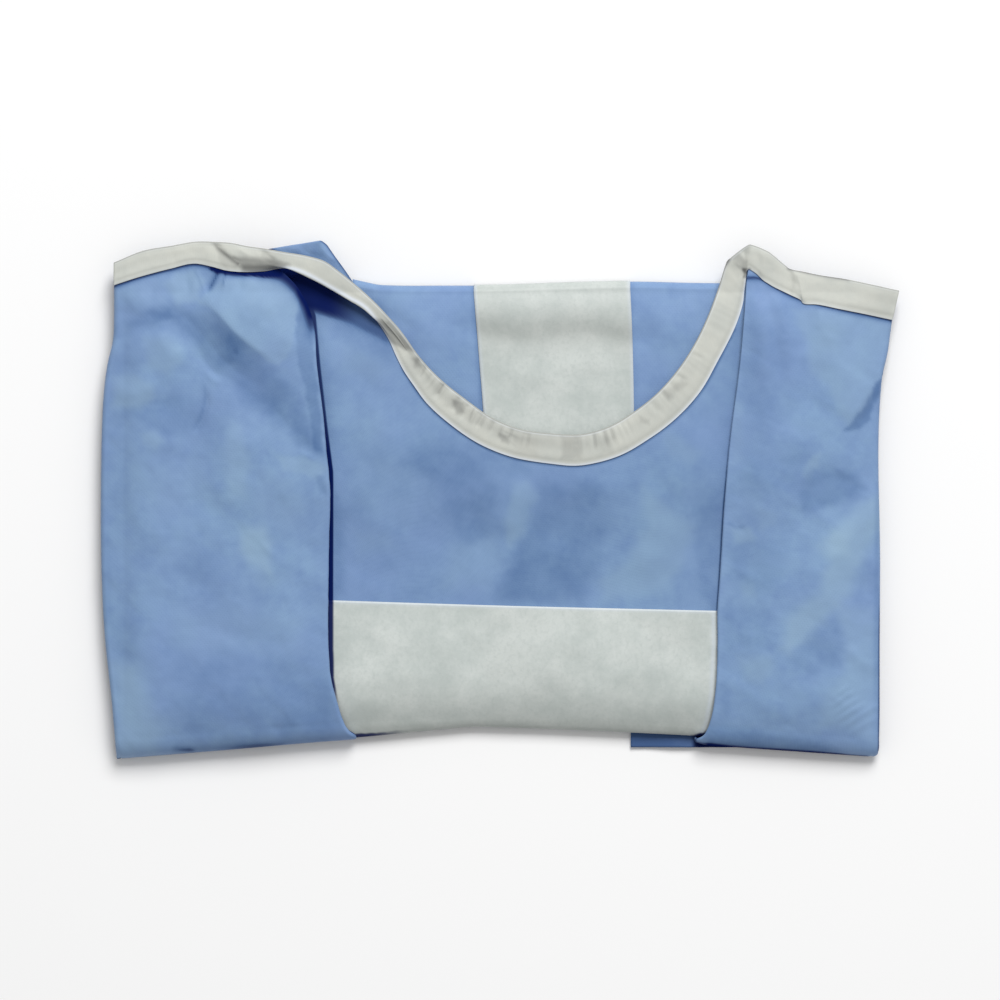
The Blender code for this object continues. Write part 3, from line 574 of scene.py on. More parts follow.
# The folds of the back panels: radius, which way they face and their line, far to near.
leftFold = {
    "radius": 1.9, "way": 1.0,
    "line": [
        (-119.5, 122), (-117.1, 115), (-114.1, 83.4), (-110.8, 54.2), (-108.2, 24.0),
        (-107.6, 18.0), (-107.8, -37), (-107.9, -92.7), (-106.6, -110), (-103.3, -124.3),
        (-99.4, -137.0), (-95.6, -144.2), (-90.8, -148.8),
    ],
}
rightFold = {
    "radius": 1.2, "way": -1.0,
    "line": [
        (154.7, 147), (153.3, 138), (152.5, 128), (151.7, 117), (148.8, 82.8), (143.5, 40),
        (140.1, -2.2), (137.6, -45), (136.0, -69.1), (136.1, -90.2), (134.7, -119.7),
        (132.0, -136.5), (130.0, -142.2), (127.8, -146.4), (122.0, -150.6),
    ],
}
front = {
    "columns": 200, "rows": 150,
    "sides": (-228.0, 224.0),
    "far": [
        (-228, 117), (-165, 122), (-136, 131), (-121, 143), (-108, 142), (-94, 132),
        (-78, 117), (-65.5, 103), (-48, 80.5), (-26, 60.5), (-5, 46), (12, 40), (31, 38),
        (53, 37), (70, 41.5), (85, 52), (100, 63.5), (113, 78), (124, 95), (132.5, 113),
        (137.5, 128), (142, 141), (148, 148), (156, 148), (164, 142), (176, 127), (224, 112),
    ],
    "near": [
        (-228, -153.5), (-90, -147.0), (-27, -141.2), (-17, -140.4), (-7, -140.6), (81, -143.9),
        (126, -146.2), (224, -153),
    ],
    "low": 4.5, "roundWidth": 27.0, "foldsAt": (-106.0, 142.0),
    "foldSteps": 4, "evenColumns": (38, 118, 30), "nearPoints": 33,
    "closeColumns": (-12.0, -7.0, -4.0, -2.0, -0.8, 0.0, 0.4, 0.8, 1.2, 1.6, 2.0, 2.4, 2.8, 3.3,
                     4.0, 5.0, 6.5, 9.0, 12.0),
    "crumples": ((5, 74.0, 21.0, 5, 0.30), (6, 30.0, 9.0, 5, 0.13)),
    # painted shade, deep blue beside the folds: fold, width and strength along y, soft edge out
    # and in
    "gaps": (
        (leftFold, (1.0, ((60.0, 6.0, 1.5), (-92.0, -124.0, -1.6))),
         (0.76, ((62.0, 12.0, 0.24), (-114.0, -128.0, -0.8), (-60.0, -66.0, -0.12))), 0.8, 0.7),
        (rightFold, (0.3, ((50.0, -10.0, 0.7),)),
         (0.0, ((76.0, 0.0, 0.50), (-64.0, -74.0, -0.34))), 0.6, 0.5),
    ),
    # painted shade: a veil beside each fold
    "veils": ((leftFold, 7.0, 0.13), (rightFold, 9.0, 0.14)),      # fold, width, strength
    # a painted shadow line beside the binding's sewn edge
    "underTape": [
        (((-60.4, 80.8), (-52.9, 69.3), (-45.5, 59.3), (-32.8, 47.7), (-10.1, 32.7), (8.0, 25.9),
          (30.1, 22.1), (53.4, 21.3), (73.2, 26.5), (93.3, 37.9), (109.4, 50.2), (124.4, 66.7),
          (135.8, 86.7), (145.6, 105.8)), 1.0, 1.0, 0.42, 0.0, "se"),
    ],
    # painted shade in the hollow under the binding at the left shoulder, from its near edge
    "pit": {
        "edge": [(-114, 116.5), (-100, 112), (-92, 108.5), (-84, 103.5), (-76, 99.5), (-68, 95)],
        "deep": (-5.0, 3.5), "strength": (0.90, ((-108.0, -86.0, -0.37),)),
        "veil": ((-17.0, 1.0, 0.22),), "side": (-60.0, -72.0),
    },
    # patches of painted light, then patches of painted shade
    "lightPatches": [
        (((8, 10), (18, 12), (24, 3), (19, -10), (13, -24), (5, -30), (3, -16), (6, -2)), 3, 0.36),
        (((-92, 58), (-72, 60), (-68, 24), (-42, 14), (-36, -8), (-58, -18), (-80, -14), (-92, 0)),
         7, 0.09),
        (((88, 8), (104, -4), (120, -16), (116, -36), (104, -56), (64, -62), (62, -50), (80, -36),
          (90, -16)), 5, 0.32),
        (((100, 46), (124, 30), (120, 22), (104, 28)), 4, 0.22),
        (((-92, -18), (-70, -20), (-64, -30), (-88, -36)), 5, 0.16),
        (((-30, -28), (-4, -22), (0, -40), (-8, -56), (-38, -56)), 6, 0.18),
        (((-98, 98), (-84, 92), (-70, 80), (-80, 74), (-100, 82)), 5, 0.12),
    ],
    "shadePatches": [
        (((24, 10), (62, 10), (68, -14), (60, -40), (52, -63), (-3, -63), (4, -46), (12, -28)),
         7, 0.13),
        (((12, -28), (58, -36), (50, -64), (-2, -62)), 6, 0.06),
        (((-46, 36), (-20, 32), (-4, 10), (-2, -18), (-18, -26), (-30, -16), (-38, 8), (-62, 22)),
         7, 0.15),
        (((120, 8), (139, 8), (135, -66), (124, -60)), 4, 0.10),
        (((-104, 10), (-97, -10), (-96, -56), (-104, -60)), 3, 0.12),
        (((-230, 40), (230, 40), (230, -64), (-230, -64)), 10, 0.065),
    ],
    "creases": [
        (((-19, 6), (-11, -22), (-5, -52)), 10, 9, -1.0, 0.1, ""),
        (((16, 16), (9, -6), (1, -26)), 7, 8, 1.2, 0.3, ""),
        (((48, 6), (39, -14), (30, -34)), 9, 9, -0.9, 0.1, ""),
        (((106, -6), (95, -28), (84, -50)), 12, 10, 1.0, 0.1, ""),
        (((-88, -6), (-70, -20), (-54, -34)), 12, 10, 0.8, 0.1, ""),
        (((-98, 100), (-84, 92), (-66, 84)), 9, 8, 0.6, 0.1, ""),
        (((-88, 60), (-74, 38), (-60, 18)), 15, 12, 0.8, 0.0, ""),
        (((-98, 24), (-60, 10), (-22, 16)), 9, 14, -0.6, 0.1, ""),
        (((84, 22), (104, 4), (122, -6)), 9, 10, -0.6, 0.1, ""),
        (((112, 52), (124, 30), (134, 4)), 10, 9, 0.7, 0.1, ""),
        (((40, 16), (66, 6), (88, 12)), 8, 7, 0.5, 0.1, ""),
        (((-104, -30), (-84, -44), (-52, -50)), 8, 7, -0.5, 0.2, ""),
        (((34, -44), (64, -54), (96, -50)), 8, 8, -0.4, 0.1, ""),
        (((-92, -78), (-50, -88), (-8, -84)), 12, 10, 0.5, 0.0, ""),
        (((-60, -106), (-20, -112), (24, -104)), 10, 12, -0.6, 0.0, ""),
        (((20, -80), (60, -92), (112, -86)), 12, 10, 0.5, 0.0, ""),
        (((50, -112), (84, -118), (118, -108)), 9, 10, -0.5, 0.0, ""),
        (((-98, 86), (-84, 74), (-70, 58)), 6, 8, -0.6, 0.2, ""),
        (((-92, -120), (-80, -128), (-66, -126)), 6, 6, 0.5, 0.2, ""),
        (((118, -92), (124, -112), (126, -132)), 6, 7, -0.6, 0.1, ""),
    ],
}


# Outer face of the sleeve and of the shoulder corner: the layers' top and one ply.
def sleeveTop(x, y):
    return stackTop(x, y) + lay["gap"] + lay["slack"] + lay["ply"]


# What a back panel lies over: the layers' top, two plies of slack, a lift where the
# sleeve lies underneath, the front panel's creases and its crumple.
def frontRest(x, y):
    lift = smoothStep(*lay["liftLeft"], x) * (1.0 - smoothStep(*lay["liftRight"], x))
    lift = lay["sleeveLift"] * lift * smoothStep(*lay["liftNear"], y)
    rest = stackTop(x, y) + lay["gap"] + 2.0 * lay["slack"] + lay["ply"] + lift
    return rest + creaseHeight(front["creases"], x, y) + crumple(front["crumples"], x, y)


# Outer face of the front panel: the same, rounded down to its near fold.
def frontTop(x, y):
    rounded = roundedEnd(y - profileAt(front["near"], x), front["roundWidth"])
    return front["low"] + (frontRest(x, y) - front["low"]) * rounded


# Rows that carry the last row over a rounded far edge: out by run * sin(angle) and down
# from its height to the low edge by 1 - cos(angle).
def rollRows(last, roll):
    run, low = roll
    angle = lay["rollAngles"][:, None]
    rows = np.repeat(last[None], len(lay["rollAngles"]), axis=0)
    drop = (last[:, 2] - low)[None] / (1.0 - np.cos(angle[-1]))
    rows[:, :, 1] += run * np.sin(angle)
    rows[:, :, 2] -= drop * (1.0 - np.cos(angle))
    return rows


# x of a fold's outline at y: its line, moved out by the round of the fold.
def foldEdge(fold, y):
    foldX, foldY = np.array(fold["line"]).T
    return np.interp(-y, -foldY, foldX) + fold["way"] * fold["radius"]


# How far x, y lies from a fold's outline, away from its back panel.
def fromFold(fold, x, y):
    return fold["way"] * (x - foldEdge(fold, y))


# Moves a plan's columns so that some of them run close beside both folds' outlines: each
# row crosses a fold where x = outline(y), found in a few steps, and the rest is even.
def besideFolds(plan):
    close = np.array(front["closeColumns"])
    rows = []
    for x, y in zip(*planOf(plan)):
        left, right = front["foldsAt"]
        for _ in range(front["foldSteps"]):
            left = foldEdge(leftFold, np.interp(left, x, y))
            right = foldEdge(rightFold, np.interp(right, x, y))
        spans = ((x[0], left + close[0]), (left + close[-1], right - close[-1]),
                 (right - close[0], x[-1]))
        runs = [np.linspace(*span, count + 2)[1:-1] for span, count
                in zip(spans, front["evenColumns"])]
        moved = np.concatenate([[x[0]], runs[0], left + close, runs[1],
                                right - close[::-1], runs[2], [x[-1]]])
        rows.append(np.column_stack([moved, np.interp(moved, x, y)]))
    return np.array(rows)


# Outer face of the front panel from a piece's far edge to the near fold: the plan between
# them, with columns beside the folds, at the panel's height.
def frontSurface(piece):
    far, nearX = piece["far"], np.linspace(*piece["sides"], front["nearPoints"])
    near = np.column_stack([nearX, profileAt(front["near"], nearX)])
    plan = panelPlan(far, near, [far[0], near[0]], [far[-1], near[-1]],
                     shares(piece["columns"]), nearShares(piece["rows"]))
    return tuckedUnder(lifted(besideFolds(plan), frontTop))


# Painted shade beside the back panels' folds: a deep blue band along each fold's outline, as
# wide and as strong as its rows say at y, with soft edges.
def gapShade(x, y):
    shade = np.zeros(x.shape)
    for fold, width, strength, soft, crisp in front["gaps"]:
        reach = eased(*width, y)
        band = smoothStep(reach + soft, reach - crisp, fromFold(fold, x, y))
        shade = np.maximum(shade, eased(*strength, y) * band)
    return shade


# Painted shade on the front panel: the band beside the folds, a bell-shaped veil beside
# both folds, a thin shadow line beside the binding, the deep hollow under it and patches:
# the strongest of them counts.
def frontShade(x, y):
    veil = sum(strength * bell(np.maximum(fromFold(fold, x, y), 0.0), width)
               for fold, width, strength in front["veils"])
    pit = front["pit"]
    edgeX, edgeY = np.array(pit["edge"]).T
    depth = y - np.interp(x, edgeX, edgeY)
    hollow = smoothStep(*pit["deep"], depth) * eased(*pit["strength"], x)
    hollow = np.maximum(hollow, eased(0.0, pit["veil"], depth)) * smoothStep(*pit["side"], x)
    underTape = creaseHeight(front["underTape"], x, y)
    patches = patchShare(front["shadePatches"], x, y)
    return np.maximum.reduce([gapShade(x, y), veil, underTape, hollow, patches])


grid = frontSurface(front)
x, y = planOf(grid)
# painted light and painted shade on the front panel
light = patchShare(front["lightPatches"], x, y)
frontPanel = makeSheet("front_panel_cloth", grid, gownBlue,
                       {"shade": frontShade(x, y), "light": light})
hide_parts("front_panel")

white = {
    "columns": 130, "rows": 60, "sides": (-124.0, 150.0), "lift": 0.6,
    # painted highlight on the two far rows and beside the right fold (foldRim)
    "rimRows": (0.45, 0.25), "foldRim": (2.6, 1.2, 0.40),      # place, width, strength
    # painted shade: darker towards the near fold; gap patches faded out around x -54 to -20
    "nearShade": ((-102.0, -140.0, 0.12),), "gapFade": ((-84.0, -54.0), (0.0, -20.0)),
    "far": [(-124, -61.5), (0, -65.4), (150, -69.0)],
    "shadePatches": [
        (((-20, -84), (0, -88), (50, -92), (62, -108), (30, -120), (-4, -104)), 8, 0.05),
        (((-90, -112), (-50, -108), (0, -118), (60, -120), (120, -128), (120, -146),
          (-90, -146)), 8, 0.07),
        (((-88, -139), (-30, -137), (0, -135), (60, -137), (122, -141), (122, -148),
          (-88, -150)), 3, 0.16),
        (((82, -72), (124, -74), (128, -92), (96, -90)), 5, 0.06),
        (((-16, -68), (24, -70), (30, -82), (-6, -84)), 6, 0.05),
        (((-10, -102), (34, -104), (52, -118), (20, -124), (-8, -116)), 4, 0.05),
        (((60, -108), (96, -110), (104, -122), (66, -124)), 5, 0.04),
        (((-102, -64), (-94, -64), (-93, -126), (-97, -134), (-101, -120)), 2.5, 0.04),
    ],
    # painted shade, deep blue, in the gaps at the near edge
    "gapPatches": [
        (((-98, -146.8), (-76, -145.2), (-50, -142.9), (-50, -150), (-98, -154)), 0.8, 0.8),
        (((119, -147.0), (125, -145.8), (131, -143.5), (130, -149), (119, -151)), 0.7, 0.9),
    ],
}
grid = frontSurface(white)
grid = grid + gridNormals(grid) * white["lift"]
x, y = planOf(grid)
# painted highlight (rim) and painted shade (shadow, gap) on the reinforcement
place, width, strength = white["foldRim"]
rim = np.zeros(x.shape)
rim[0], rim[1] = white["rimRows"]
rim = np.maximum(rim, strength * bell(fromFold(rightFold, x, y) - place, width))
shadow = eased(0.0, white["nearShade"], y) + patchShare(white["shadePatches"], x, y)
enter, leave = [smoothStep(*run, x) for run in white["gapFade"]]
gap = np.maximum(gapShade(x, y), patchShare(white["gapPatches"], x, y) * (1.0 - enter * leave))
frontWhite = makeSheet("front_reinforcement_cloth", grid, reinforcementWhite,
                       {"rim": rim, "shade": shadow, "gap": gap})
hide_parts("front_reinforcement")
print("front panel and reinforcement laid")


# Back panels, folded outward.

backs = {
    "puff": 2.3, "puffRun": 26.0, "puffFar": (150.0, 116.0), "puffNear": (-156.0, -126.0),
    "puffSides": (-247.0, 241.0), "creaseFade": 0.6, "creaseLeast": 0.22, "deepest": -0.5,
    "crumples": ((0, 66.0, 17.0, 6, 0.45), (1, 28.0, 8.0, 6, 0.16)),
    "low": 4.0, "roundWidth": 14.0, "underPly": 0.22, "underColumns": 12,
    "turnRadius": 3.2, "turnDrop": 2.4, "turnFloor": 2.0,      # the turn of the outer side
    "tuck": (5.5, 3.0, 1.2),                                   # columns tucked in under it
    "tuckShift": ((0.90, 0.99, 2.4),), "turnShift": ((0.93, 0.99, 0.6),),
    "foldAngles": np.radians(np.linspace(14.0, 166.0, 12)),
    "turnAngles": np.radians(np.linspace(158.0, 12.0, 9)),
    # painted shade on the fold, the turned side and the tucked plies; painted light below
    # lightUnder
    "foldedShade": (0.35, 0.85), "turnedShade": 0.55, "tuckedShade": 0.7, "lightUnder": 0.5,
}
leftBack = {
    "columns": 112, "rows": 216, "foldX": -108.0, "seed": 11,
    "clearance": 1.7, "foldShade": 1.0, "fold": leftFold,
    "far": [
        (-239.6, 143.5), (-220, 151), (-187, 156.8), (-167, 155.8), (-151, 151.5),
        (-137, 143), (-126, 132.5), (-119.5, 122),
    ],
    "outer": [
        (-239.6, 143.5), (-239.6, 108.5), (-239.8, 102.0), (-243.7, 83.4), (-247.3, 35.0),
        (-247.5, 22.0), (-246.1, -72.0), (-245.6, -80.0), (-240.4, -130.0), (-238.0, -160.6),
    ],
    "near": [(-238.0, -160.6), (-160, -154.5), (-110, -150.2), (-90.8, -148.8)],
    "creases": [
        # the long trough from the shoulder to the kink in the fold
        (((-236, 108), (-220, 113), (-207, 115), (-189, 104.5), (-175, 87), (-151, 67),
          (-125, 40), (-107, 24.5)), 12, 13, -2.9, 0.35, "s"),
        # the smooth bulge above it: a crisp border, a soft one beside the fold
        (((-187, 134), (-182, 126), (-167, 107.5), (-148, 92), (-133, 82)),
         24, 6.5, 2.7, 0.85, ""),
        (((-123, 126), (-126, 106), (-134, 84)), 10, 16, 1.2, 0.4, "s"),
        (((-156, 136), (-150, 122), (-143, 108)), 12, 12, 0.5, 0.1, "s"),
        # ridge and small crease at the kink
        (((-126, 31), (-115, 25.5), (-106, 22)), 3.5, 7, 1.6, 0.75, "e"),
        (((-113, 17), (-111, 8), (-110, 0)), 2.5, 3, -0.6, 0.4, ""),
        # gathers under the binding
        (((-174, 143), (-178, 136), (-182, 127)), 1.9, 2.6, -2.2, 0.7, "s"),
        (((-168, 143), (-171, 136), (-172, 130)), 2.0, 2.0, 0.8, 0.6, "s"),
        (((-187, 146), (-189, 136), (-191, 124)), 3.0, 3.4, 0.9, 0.5, "s"),
        (((-195, 145), (-194, 136), (-193, 127)), 2.6, 2.4, -0.7, 0.5, "s"),
        (((-204, 143), (-203, 134), (-200, 126)), 3.0, 3.4, 0.5, 0.4, "s"),
        (((-160, 141), (-161, 134), (-160, 127)), 2.6, 3.0, -0.7, 0.4, "s"),
        (((-214, 140), (-216, 130), (-214, 121)), 4.0, 3.4, -0.4, 0.3, "s"),
        # smaller folds over the rest of the panel
        (((-216, 107), (-206, 93), (-197, 80)), 8, 7, 1.3, 0.3, ""),
        (((-186, 98), (-180, 86), (-171, 74)), 6, 5, -0.9, 0.4, ""),
        (((-184, 82), (-178, 75), (-171, 71)), 2.2, 2.2, 0.6, 0.5, ""),
        (((-183, 72), (-181, 62), (-184, 50), (-191, 38)), 1.6, 3.4, -1.2, 0.7, ""),
        (((-230, 55), (-212, 60), (-196, 52)), 8, 7, -1.2, 0.3, ""),
        (((-240, 69), (-226, 66), (-210, 73)), 7, 6, 1.0, 0.3, "s"),
        (((-224, 42), (-207, 35), (-193, 42)), 8, 8, 0.9, 0.2, ""),
        (((-172, 44), (-158, 34), (-144, 36)), 9, 11, 0.9, 0.2, ""),
        (((-204, 10), (-176, -6), (-150, -4)), 11, 9, -0.7, 0.1, ""),
        (((-236, 4), (-222, -14), (-218, -36)), 8, 9, 0.7, 0.1, ""),
        (((-160, -14), (-144, -32), (-133, -54)), 11, 13, 0.9, 0.1, ""),
        (((-206, -36), (-192, -50), (-176, -52)), 7, 7, -0.6, 0.3, ""),
        (((-222, -60), (-216, -92), (-212, -125)), 12, 14, 0.9, 0.0, ""),
        (((-190, -70), (-160, -84), (-132, -82)), 12, 8, -0.9, 0.1, ""),
        (((-176, -108), (-150, -118), (-122, -112)), 11, 10, 0.6, 0.1, ""),
        (((-236, -92), (-224, -104), (-206, -106)), 7, 8, -0.6, 0.2, ""),
        (((-142, -100), (-124, -120), (-108, -140)), 13, 12, -1.5, 0.1, "e"),
        (((-204, -142), (-201, -150), (-203, -157)), 4, 3, -0.5, 0.2, "e"),
        (((-170, -140), (-166, -148), (-167, -155)), 4, 5, 0.6, 0.3, "e"),
        (((-186, -144), (-184, -150), (-185, -157)), 3, 3, 0.4, 0.3, "e"),
        (((-140, -138), (-137, -146), (-138, -153)), 4, 3, -0.5, 0.3, "e"),
    ],
}
rightBack = {
    "columns": 84, "rows": 216, "foldX": 143.0, "seed": 23,
    "clearance": 0.9, "foldShade": 0.4, "fold": rightFold,
    "far": [
        (246.8, 127), (214, 134), (187, 138.2), (177, 140.5), (166, 150), (158.5, 151.5),
        (156.3, 147),
    ],
    "outer": [
        (246.8, 127), (243.5, 111.6), (240.9, 92.9), (236.9, 74.1), (236.2, 66), (235.9, -45),
        (235.6, -90), (235.3, -148.0), (235.1, -155.6), (234.2, -158.4), (232.4, -159.4),
    ],
    "near": [(232.4, -159.4), (178.6, -155.9), (141, -153.2), (128.0, -152.2), (122.0, -150.6)],
    "creases": [
        # the crease from the side seam: a ridge that drops sharply to a dip beside it
        (((240, 84), (234, 75), (224, 60), (214, 44)), 5.5, 18, 2.0, 0.8, "s"),
        (((240, 72), (230, 58), (220, 42)), 7, 5, -1.0, 0.4, "s"),
        # long soft folds down from the binding
        (((158, 124), (163, 96), (166, 62)), 6, 7, 1.0, 0.2, "s"),
        (((166, 124), (171, 100), (174, 70)), 4, 4, -0.8, 0.3, "s"),
        (((174, 122), (179, 92), (183, 56)), 6, 7, 0.9, 0.2, "s"),
        (((188, 118), (190, 104), (188, 88)), 4, 5, -0.7, 0.3, "s"),
        (((204, 114), (205, 98), (200, 78)), 7, 8, 0.8, 0.2, "s"),
        (((222, 110), (218, 98), (212, 90)), 4, 4, -0.5, 0.4, "s"),
        (((197, 119), (198, 112), (196, 104)), 2.2, 2.4, 0.6, 0.5, "s"),
        # the side and the middle
        (((222, 8), (206, 12), (190, 16)), 9, 9, -0.9, 0.1, ""),
        (((237, -4), (217, -23), (204, -40), (194, -58), (178, -80)), 10, 11, 1.4, 0.3, "s"),
        (((208, 26), (192, 2), (176, -30), (166, -62)), 11, 10, -1.1, 0.1, ""),
        (((234, -40), (224, -60), (222, -84)), 8, 8, -0.8, 0.2, ""),
        (((196, 60), (186, 40), (180, 22)), 10, 9, 0.7, 0.1, ""),
        (((158, 30), (164, 4), (160, -20)), 8, 9, 0.6, 0.1, ""),
        (((142, -12), (147, -16), (154, -23)), 2.6, 3, -0.6, 0.5, "s"),
        (((142, -44), (150, -46), (158, -52)), 3, 3, 0.5, 0.4, "s"),
        (((150, -76), (158, -92), (170, -104)), 10, 9, 0.8, 0.2, ""),
        (((186, -88), (200, -98), (206, -112)), 8, 8, -0.7, 0.2, ""),
        (((216, -88), (222, -98), (232, -104)), 5, 5, 0.7, 0.3, "e"),
        # fine wrinkles at the near corner
        (((205, -124), (212, -118), (219, -114)), 1.1, 1.4, 0.45, 0.4, ""),
        (((204, -130), (213, -122), (223, -117)), 1.1, 1.4, 0.55, 0.4, ""),
        (((206, -134), (215, -127), (226, -121)), 1.2, 1.3, 0.50, 0.4, ""),
        (((206, -139), (216, -132), (228, -125)), 1.1, 1.5, 0.60, 0.4, ""),
        (((211, -142), (221, -135), (233, -128)), 1.2, 1.4, 0.55, 0.4, "e"),
        (((215, -147), (225, -140), (235, -134)), 1.3, 1.6, 0.50, 0.4, "e"),
        (((150, -134), (170, -140), (190, -138)), 5, 6, -0.5, 0.2, ""),
        (((141, -128), (138, -138), (131, -148)), 4, 5, -0.6, 0.3, "e"),
    ],
}


# Outer face of a back panel over the front panel: two fold radii up, swollen away
# from its fold and edges, with its creases faded in over the swell, and crumple.
def flapTop(x, y, panel):
    side = np.minimum(x - backs["puffSides"][0], backs["puffSides"][1] - x)
    swell = smoothStep(0.0, backs["puffRun"], np.abs(x - panel["foldX"]))
    swell = swell * smoothStep(*backs["puffFar"], y) * smoothStep(*backs["puffNear"], y)
    swell = swell * smoothStep(0.0, backs["puffRun"], side)
    show = np.minimum(backs["creaseLeast"] + swell / backs["creaseFade"], 1.0)
    crease = creaseHeight(panel["creases"], x, y) * show
    crease = crease + crumple(backs["crumples"], x, y, panel["seed"])
    rest = frontRest(x, y) + panel["clearance"] + 2.0 * panel["fold"]["radius"]
    rest = rest + np.maximum(backs["puff"] * swell + crease, backs["deepest"])
    rounded = roundedEnd(y - profileAt(sorted(panel["near"]), x), backs["roundWidth"])
    return backs["low"] + (rest - backs["low"]) * rounded


# Outer face of a back panel as one strip of columns: a tuck under its outer side, the
# turn of that side (a part of an ellipse), the upper face, the round fold (a part of a
# circle about the fold's line) and the ply that runs back under.
def flapSurface(panel):
    v = nearShares(panel["rows"])
    way, foldRadius = panel["fold"]["way"], panel["fold"]["radius"]
    radius = backs["turnRadius"]
    outer = [(x + way * radius, y) for x, y in panel["outer"]]
    far = [outer[0]] + panel["far"][1:]
    near = [outer[-1]] + panel["near"][1:]

    def face(share):
        plan = panelPlan(far, near, outer, panel["fold"]["line"], share, v)
        return tuckedUnder(lifted(plan, lambda x, y: flapTop(x, y, panel)))

    upper = face(shares(panel["columns"]))
    normal = way * gridNormals(upper)[:, -1:]
    outward = upper[:, -1:] - upper[:, -2:-1]
    outward[:, :, 2] = 0.0
    outward = outward / np.linalg.norm(outward, axis=2, keepdims=True)
    angle = backs["foldAngles"][None, :, None]
    sweep = outward * np.sin(angle) - normal * (1.0 - np.cos(angle))
    fold = upper[:, -1:] + foldRadius * sweep
    under = face(1.0 - shares(backs["underColumns"]) * backs["underPly"])
    under = under + 2.0 * foldRadius * way * gridNormals(under)

    away = np.array([-way, 0.0, 0.0])
    angle = backs["turnAngles"][None, :, None]
    start = upper[:, :1]
    depth = np.minimum(backs["turnDrop"] * radius, start[:, :, 2:] - backs["turnFloor"]) / 2.0
    turn = start + away * radius * np.sin(angle)
    turn = turn - np.array([0.0, 0.0, 1.0]) * depth * (1.0 - np.cos(angle))
    tuck = turn[:, :1] - away * np.array(backs["tuck"])[None, :, None]
    share = (np.arange(len(tuck)) / (len(v) - 1.0))[:, None]
    tuck[:, :, 1] += eased(0.0, backs["tuckShift"], share)
    turn[:, :, 1] += eased(0.0, backs["turnShift"], share) * (1.0 - np.sin(angle[:, :, 0]))
    return np.concatenate([tuck, turn, upper, fold, under], axis=1)


# Painted shade on a back panel: deep blue on the turned-under plies and the inside of the
# fold, and on its upper face the listed lines and patches, added up.
def flapShade(grid, panel):
    shade = np.ones(grid.shape[:2])
    tucked = len(backs["tuck"])
    first = tucked + len(backs["turnAngles"])
    last = first + panel["columns"]
    x, y = planOf(grid[:, tucked:last])
    drawnShade = creaseHeight(panel["shades"], x, y) + patchShare(panel["shadePatches"], x, y)
    shade[:, tucked:last] = np.clip(drawnShade, 0.0, 1.0)
    folded = smoothStep(*backs["foldedShade"], np.sin(backs["foldAngles"] / 2.0) ** 2)[None]
    shade[:, last:last + folded.size] = np.maximum(panel["foldShade"] * folded,
                                                   shade[:, last - 1:last])
    turned = backs["turnedShade"] * smoothStep(1.0, -1.0, np.cos(backs["turnAngles"]))[None]
    shade[:, tucked:first] = np.maximum(shade[:, tucked:first], turned)
    shade[:, :tucked] = backs["tuckedShade"]
    return shade


# Lines and patches of painted shade in deep blue, and patches of painted light, paler;
# the first line is the painted shadow beside the binding.
leftBack["shades"] = [
    (((-239.6, 133.0), (-222, 138.6), (-204.6, 143.2), (-188.5, 146.4), (-178.6, 144.5),
      (-168.6, 141.9), (-157.5, 141.1), (-146.5, 141.6), (-136.0, 143.6)),
     1.6, 2.1, 0.72, 0.1, "se"),
    (((-178, 143.5), (-166, 140.8), (-152, 140.2), (-138, 141)), 1.2, 1.9, 0.80, 0.1, "se"),
    (((-146, 141.5), (-134, 138.5), (-124.5, 130), (-118, 119), (-115, 108), (-113, 94)),
     5.0, 4.6, 0.85, 0.0, "s"),
    (((-173.5, 143.5), (-177, 136), (-182, 127)), 1.4, 2.0, 0.50, 0.3, "s"),
    (((-169.5, 141), (-171, 136), (-172, 131)), 0.9, 0.9, 0.26, 0.2, "s"),
    (((-189, 142), (-185, 133), (-183, 126)), 0.8, 1.2, 0.14, 0.3, "s"),
    (((-184, 77), (-182, 64), (-184, 54), (-192, 39)), 0.9, 1.7, 0.24, 0.3, ""),
    (((-188, 127), (-174, 113.6), (-161, 99.6), (-151, 91.5), (-140, 82)),
     0.8, 6.5, 0.13, 0.0, ""),
    (((-206, -154.0), (-199, -154.6), (-186, -155.0)), 2.2, 2.0, 0.34, 0.0, ""),
    (((-216, -157.6), (-190, -155.9), (-160, -153.6), (-120, -150.4)), 2.8, 2.0, 0.30, 0.0, ""),
    (((-180, -155.2), (-140, -152.0), (-110, -149.4), (-92, -148.2)), 2.4, 2.0, 0.26, 0.0, "e"),
]
